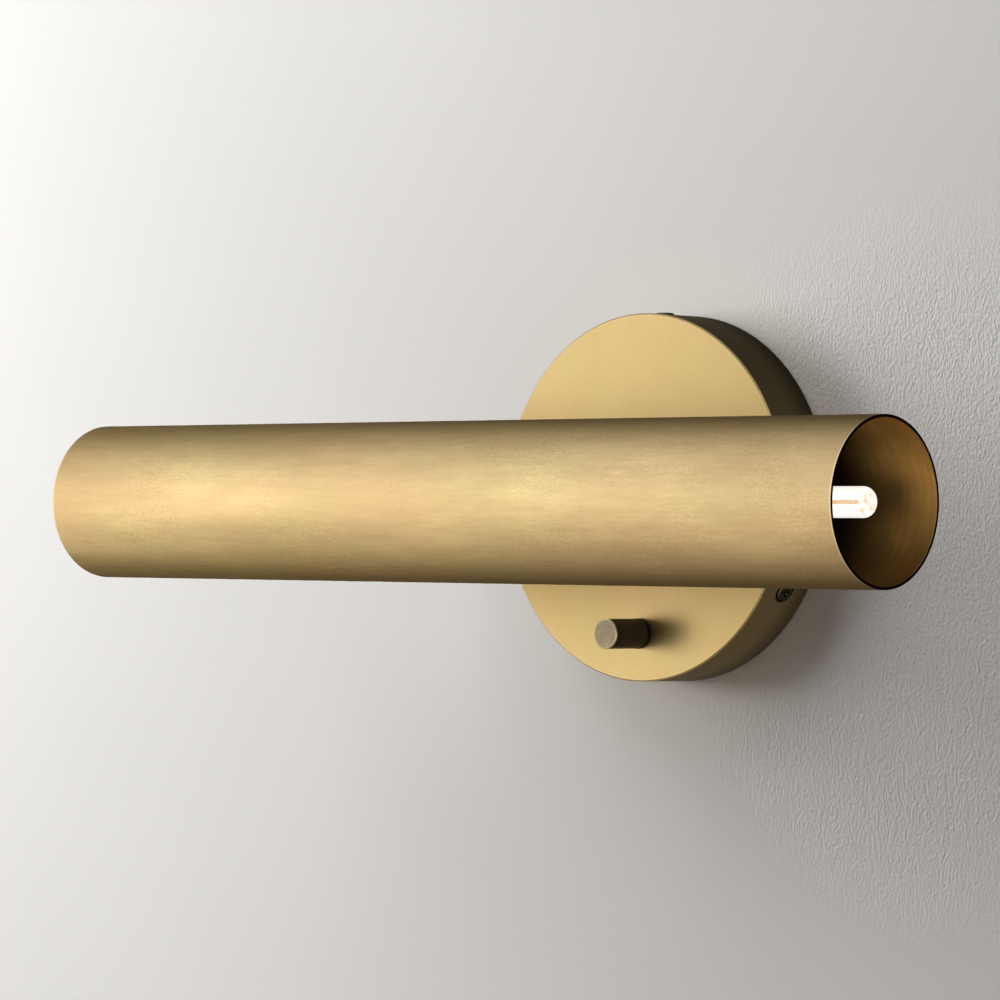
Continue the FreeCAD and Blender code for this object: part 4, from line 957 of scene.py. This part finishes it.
main_glow = ramp(sky, faces(tuple(MIRRORED_VIEW)), MAIN_FROM, MAIN_TO, smooth=False)
other_glow = ramp(sky, faces(OTHER_WAY), OTHER_FROM, OTHER_TO, 0.0, OTHER_PEAK, smooth=False)
least = maths(sky, "MULTIPLY_ADD", height, LESS_ABOVE, LEAST_GLOW)
in_metal = maths(sky, "MAXIMUM", maths(sky, "MAXIMUM", main_glow, other_glow), least)
lean = maths(sky, "MULTIPLY_ADD", height, BRIGHTER_ABOVE, 1.0)
in_metal = maths(sky, "MULTIPLY", maths(sky, "MULTIPLY", in_metal, lean), GLOW)
extra = maths(sky, "SUBTRACT", in_metal, AMBIENT)
level = maths(sky, "MULTIPLY_ADD", ray["Is Glossy Ray"], extra, AMBIENT)
to_seen = maths(sky, "SUBTRACT", SEEN, level)
level = maths(sky, "MULTIPLY_ADD", ray["Is Camera Ray"], to_seen, level)
sky.links.new(level, background.inputs["Strength"])
tone = mix_colour(sky, ramp(sky, height, ALL_LOW, ALL_HIGH), ROOM_LOW, ROOM_HIGH)
plain = mix_colour(sky, ray["Is Camera Ray"], SHADE_TINT, ROOM_HIGH)
sky.links.new(mix_colour(sky, ray["Is Glossy Ray"], plain, tone), background.inputs["Color"])
print("stage ready")

# %% [markdown]
# ## Turned pieces
#
# The tube and the knob are round, so each is the outline of half its section, spun once round its
# axis. The tube's ring edges are then bevelled, because a real edge is never quite sharp and the
# thin bright line along it is what tells the eye that the piece is metal. The knob's edges are
# already in its outline.

# %% Helpers for turned pieces
TOUCHING = 1e-6
SAME_POINT = 1e-7


def outline(work, points):
    """A closed loop of edges through points in the XY plane: along the axis, away from it."""
    corners = [work.verts.new((along, away, 0)) for along, away in points]
    for first, second in zip(corners, corners[1:] + corners[:1]):
        work.edges.new((first, second))


def spin_up(work, steps):
    """Spin everything once round the X axis into a closed skin."""
    bmesh.ops.spin(work, geom=work.verts[:] + work.edges[:], cent=(0, 0, 0), axis=(1, 0, 0),
                   angle=math.tau, steps=steps, use_merge=True, use_duplicate=False)
    bmesh.ops.remove_doubles(work, verts=work.verts, dist=SAME_POINT)
    bmesh.ops.recalc_face_normals(work, faces=work.faces)


def ring_edges(work, along, away):
    """The edges of the ring at one corner of the outline."""
    def at_corner(vertex):
        """Whether a point lies on the ring."""
        off_axis = math.hypot(vertex.co.y, vertex.co.z)
        return abs(vertex.co.x - along) < TOUCHING and abs(off_axis - away) < TOUCHING

    return [edge for edge in work.edges if all(at_corner(vertex) for vertex in edge.verts)]


def round_rings(work, corners, size, segments=3):
    """Round the rings at some corners of the outline."""
    for along, away in corners:
        bmesh.ops.bevel(work, geom=ring_edges(work, along, away), offset=size, segments=segments,
                        profile=0.5, affect="EDGES", material=-1)


X_TO_Y = Matrix.Rotation(math.radians(90), 3, "Z")

# %% [markdown]
# ### The tube
#
# The tube is a plain wall 1.2 mm thick, cut square at both ends. Its outer corners are eased and
# its inner corners only broken, as a cut tube is left.

# %% Make the tube
TUBE_STEPS = 256
OUTER_EASE = 0.15 * MM
INNER_EASE = 0.12 * MM


def make_tube():
    """The tube with eased ring edges, in the place of the plain one."""
    work = bmesh.new()
    corners_out = [(-tube_end, tube_radius), (tube_end, tube_radius)]
    corners_in = [(tube_end, tube_inner), (-tube_end, tube_inner)]
    outline(work, corners_out + corners_in)
    spin_up(work, TUBE_STEPS)
    round_rings(work, corners_out, OUTER_EASE)
    round_rings(work, corners_in, INNER_EASE, segments=2)
    bmesh.ops.translate(work, verts=work.verts, vec=tube_axis)
    return finished(work, "tube", angle=50)


tube = make_tube()
tube.data.materials.append(FINISHES["shade_brass"])
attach(tube, "fixture")
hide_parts("shade_tube")
print("tube triangles:", sum(len(p.vertices) - 2 for p in tube.data.polygons))

# %% [markdown]
# ### The knob
#
# The knob's side is knurled: two sets of fine grooves cross and leave small diamonds. The side is
# one grid of points that is pulled in along the grooves, so the diamonds are real shape and catch
# the light. The front and back edges are turned smooth, and the back is hollow.

# %% Make the knob
KNURL_ROUND = 36
KNURL_PITCH = 1.08 * MM
KNURL_DEPTH = 0.25 * MM
POINTS_PER_KNURL = 8
PLAIN_BAND = 0.7 * MM
KNOB_EDGE = 0.45 * MM
KNOB_BACK_EDGE = 0.2 * MM
HOLLOW_DEPTH = 3.2 * MM
HOLLOW_RADIUS = knob_radius - 0.6 * MM


def knurl_height(along, angle):
    """0 in a groove and 1 on the top of a diamond."""
    turns = angle * KNURL_ROUND / math.tau
    rise = along / KNURL_PITCH
    one = abs(2 * ((turns + rise) % 1) - 1)
    two = abs(2 * ((turns - rise) % 1) - 1)
    return 1 - max(one, two)


def make_knob():
    """The knob with its knurl as real shape, in the place of the plain one."""
    front, back = 0.0, knob_high.y - knob_low.y
    knurl_front, knurl_back = front + PLAIN_BAND, back - PLAIN_BAND
    work = bmesh.new()
    points = [
        (front, 0.0),
        (front, knob_radius - KNOB_EDGE),
        (front + KNOB_EDGE, knob_radius),
        (knurl_front, knob_radius),
        (knurl_back, knob_radius),
        (back - KNOB_BACK_EDGE, knob_radius),
        (back, knob_radius - KNOB_BACK_EDGE),
        (back, HOLLOW_RADIUS),
        (back - HOLLOW_DEPTH, HOLLOW_RADIUS),
        (back - HOLLOW_DEPTH, 0.0),
    ]
    corners = [work.verts.new((along, away, 0)) for along, away in points]
    edges = [work.edges.new(pair) for pair in zip(corners, corners[1:])]
    rows = int((back - 2 * PLAIN_BAND) / KNURL_PITCH * POINTS_PER_KNURL)
    knurled_side = edges[points.index((knurl_front, knob_radius))]
    bmesh.ops.subdivide_edges(work, edges=[knurled_side], cuts=rows)
    spin_up(work, KNURL_ROUND * POINTS_PER_KNURL)
    for vertex in work.verts:
        away = math.hypot(vertex.co.y, vertex.co.z)
        in_band = knurl_front + TOUCHING < vertex.co.x < knurl_back - TOUCHING
        if in_band and abs(away - knob_radius) < TOUCHING:
            height = knurl_height(vertex.co.x, math.atan2(vertex.co.z, vertex.co.y))
            shrink = 1 - KNURL_DEPTH * (1 - height) / knob_radius
            vertex.co.y *= shrink
            vertex.co.z *= shrink
    bmesh.ops.rotate(work, verts=work.verts, matrix=X_TO_Y)
    bmesh.ops.translate(work, verts=work.verts, vec=(knob_axis.x, knob_low.y, knob_axis.z))
    bmesh.ops.recalc_face_normals(work, faces=work.faces)
    return finished(work, "knurled_knob", angle=28)


knob = make_knob()
knob.data.materials.append(FINISHES["knob_brass"])
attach(knob, "knob")
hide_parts("knob")
print("knob triangles:", sum(len(p.vertices) - 2 for p in knob.data.polygons))
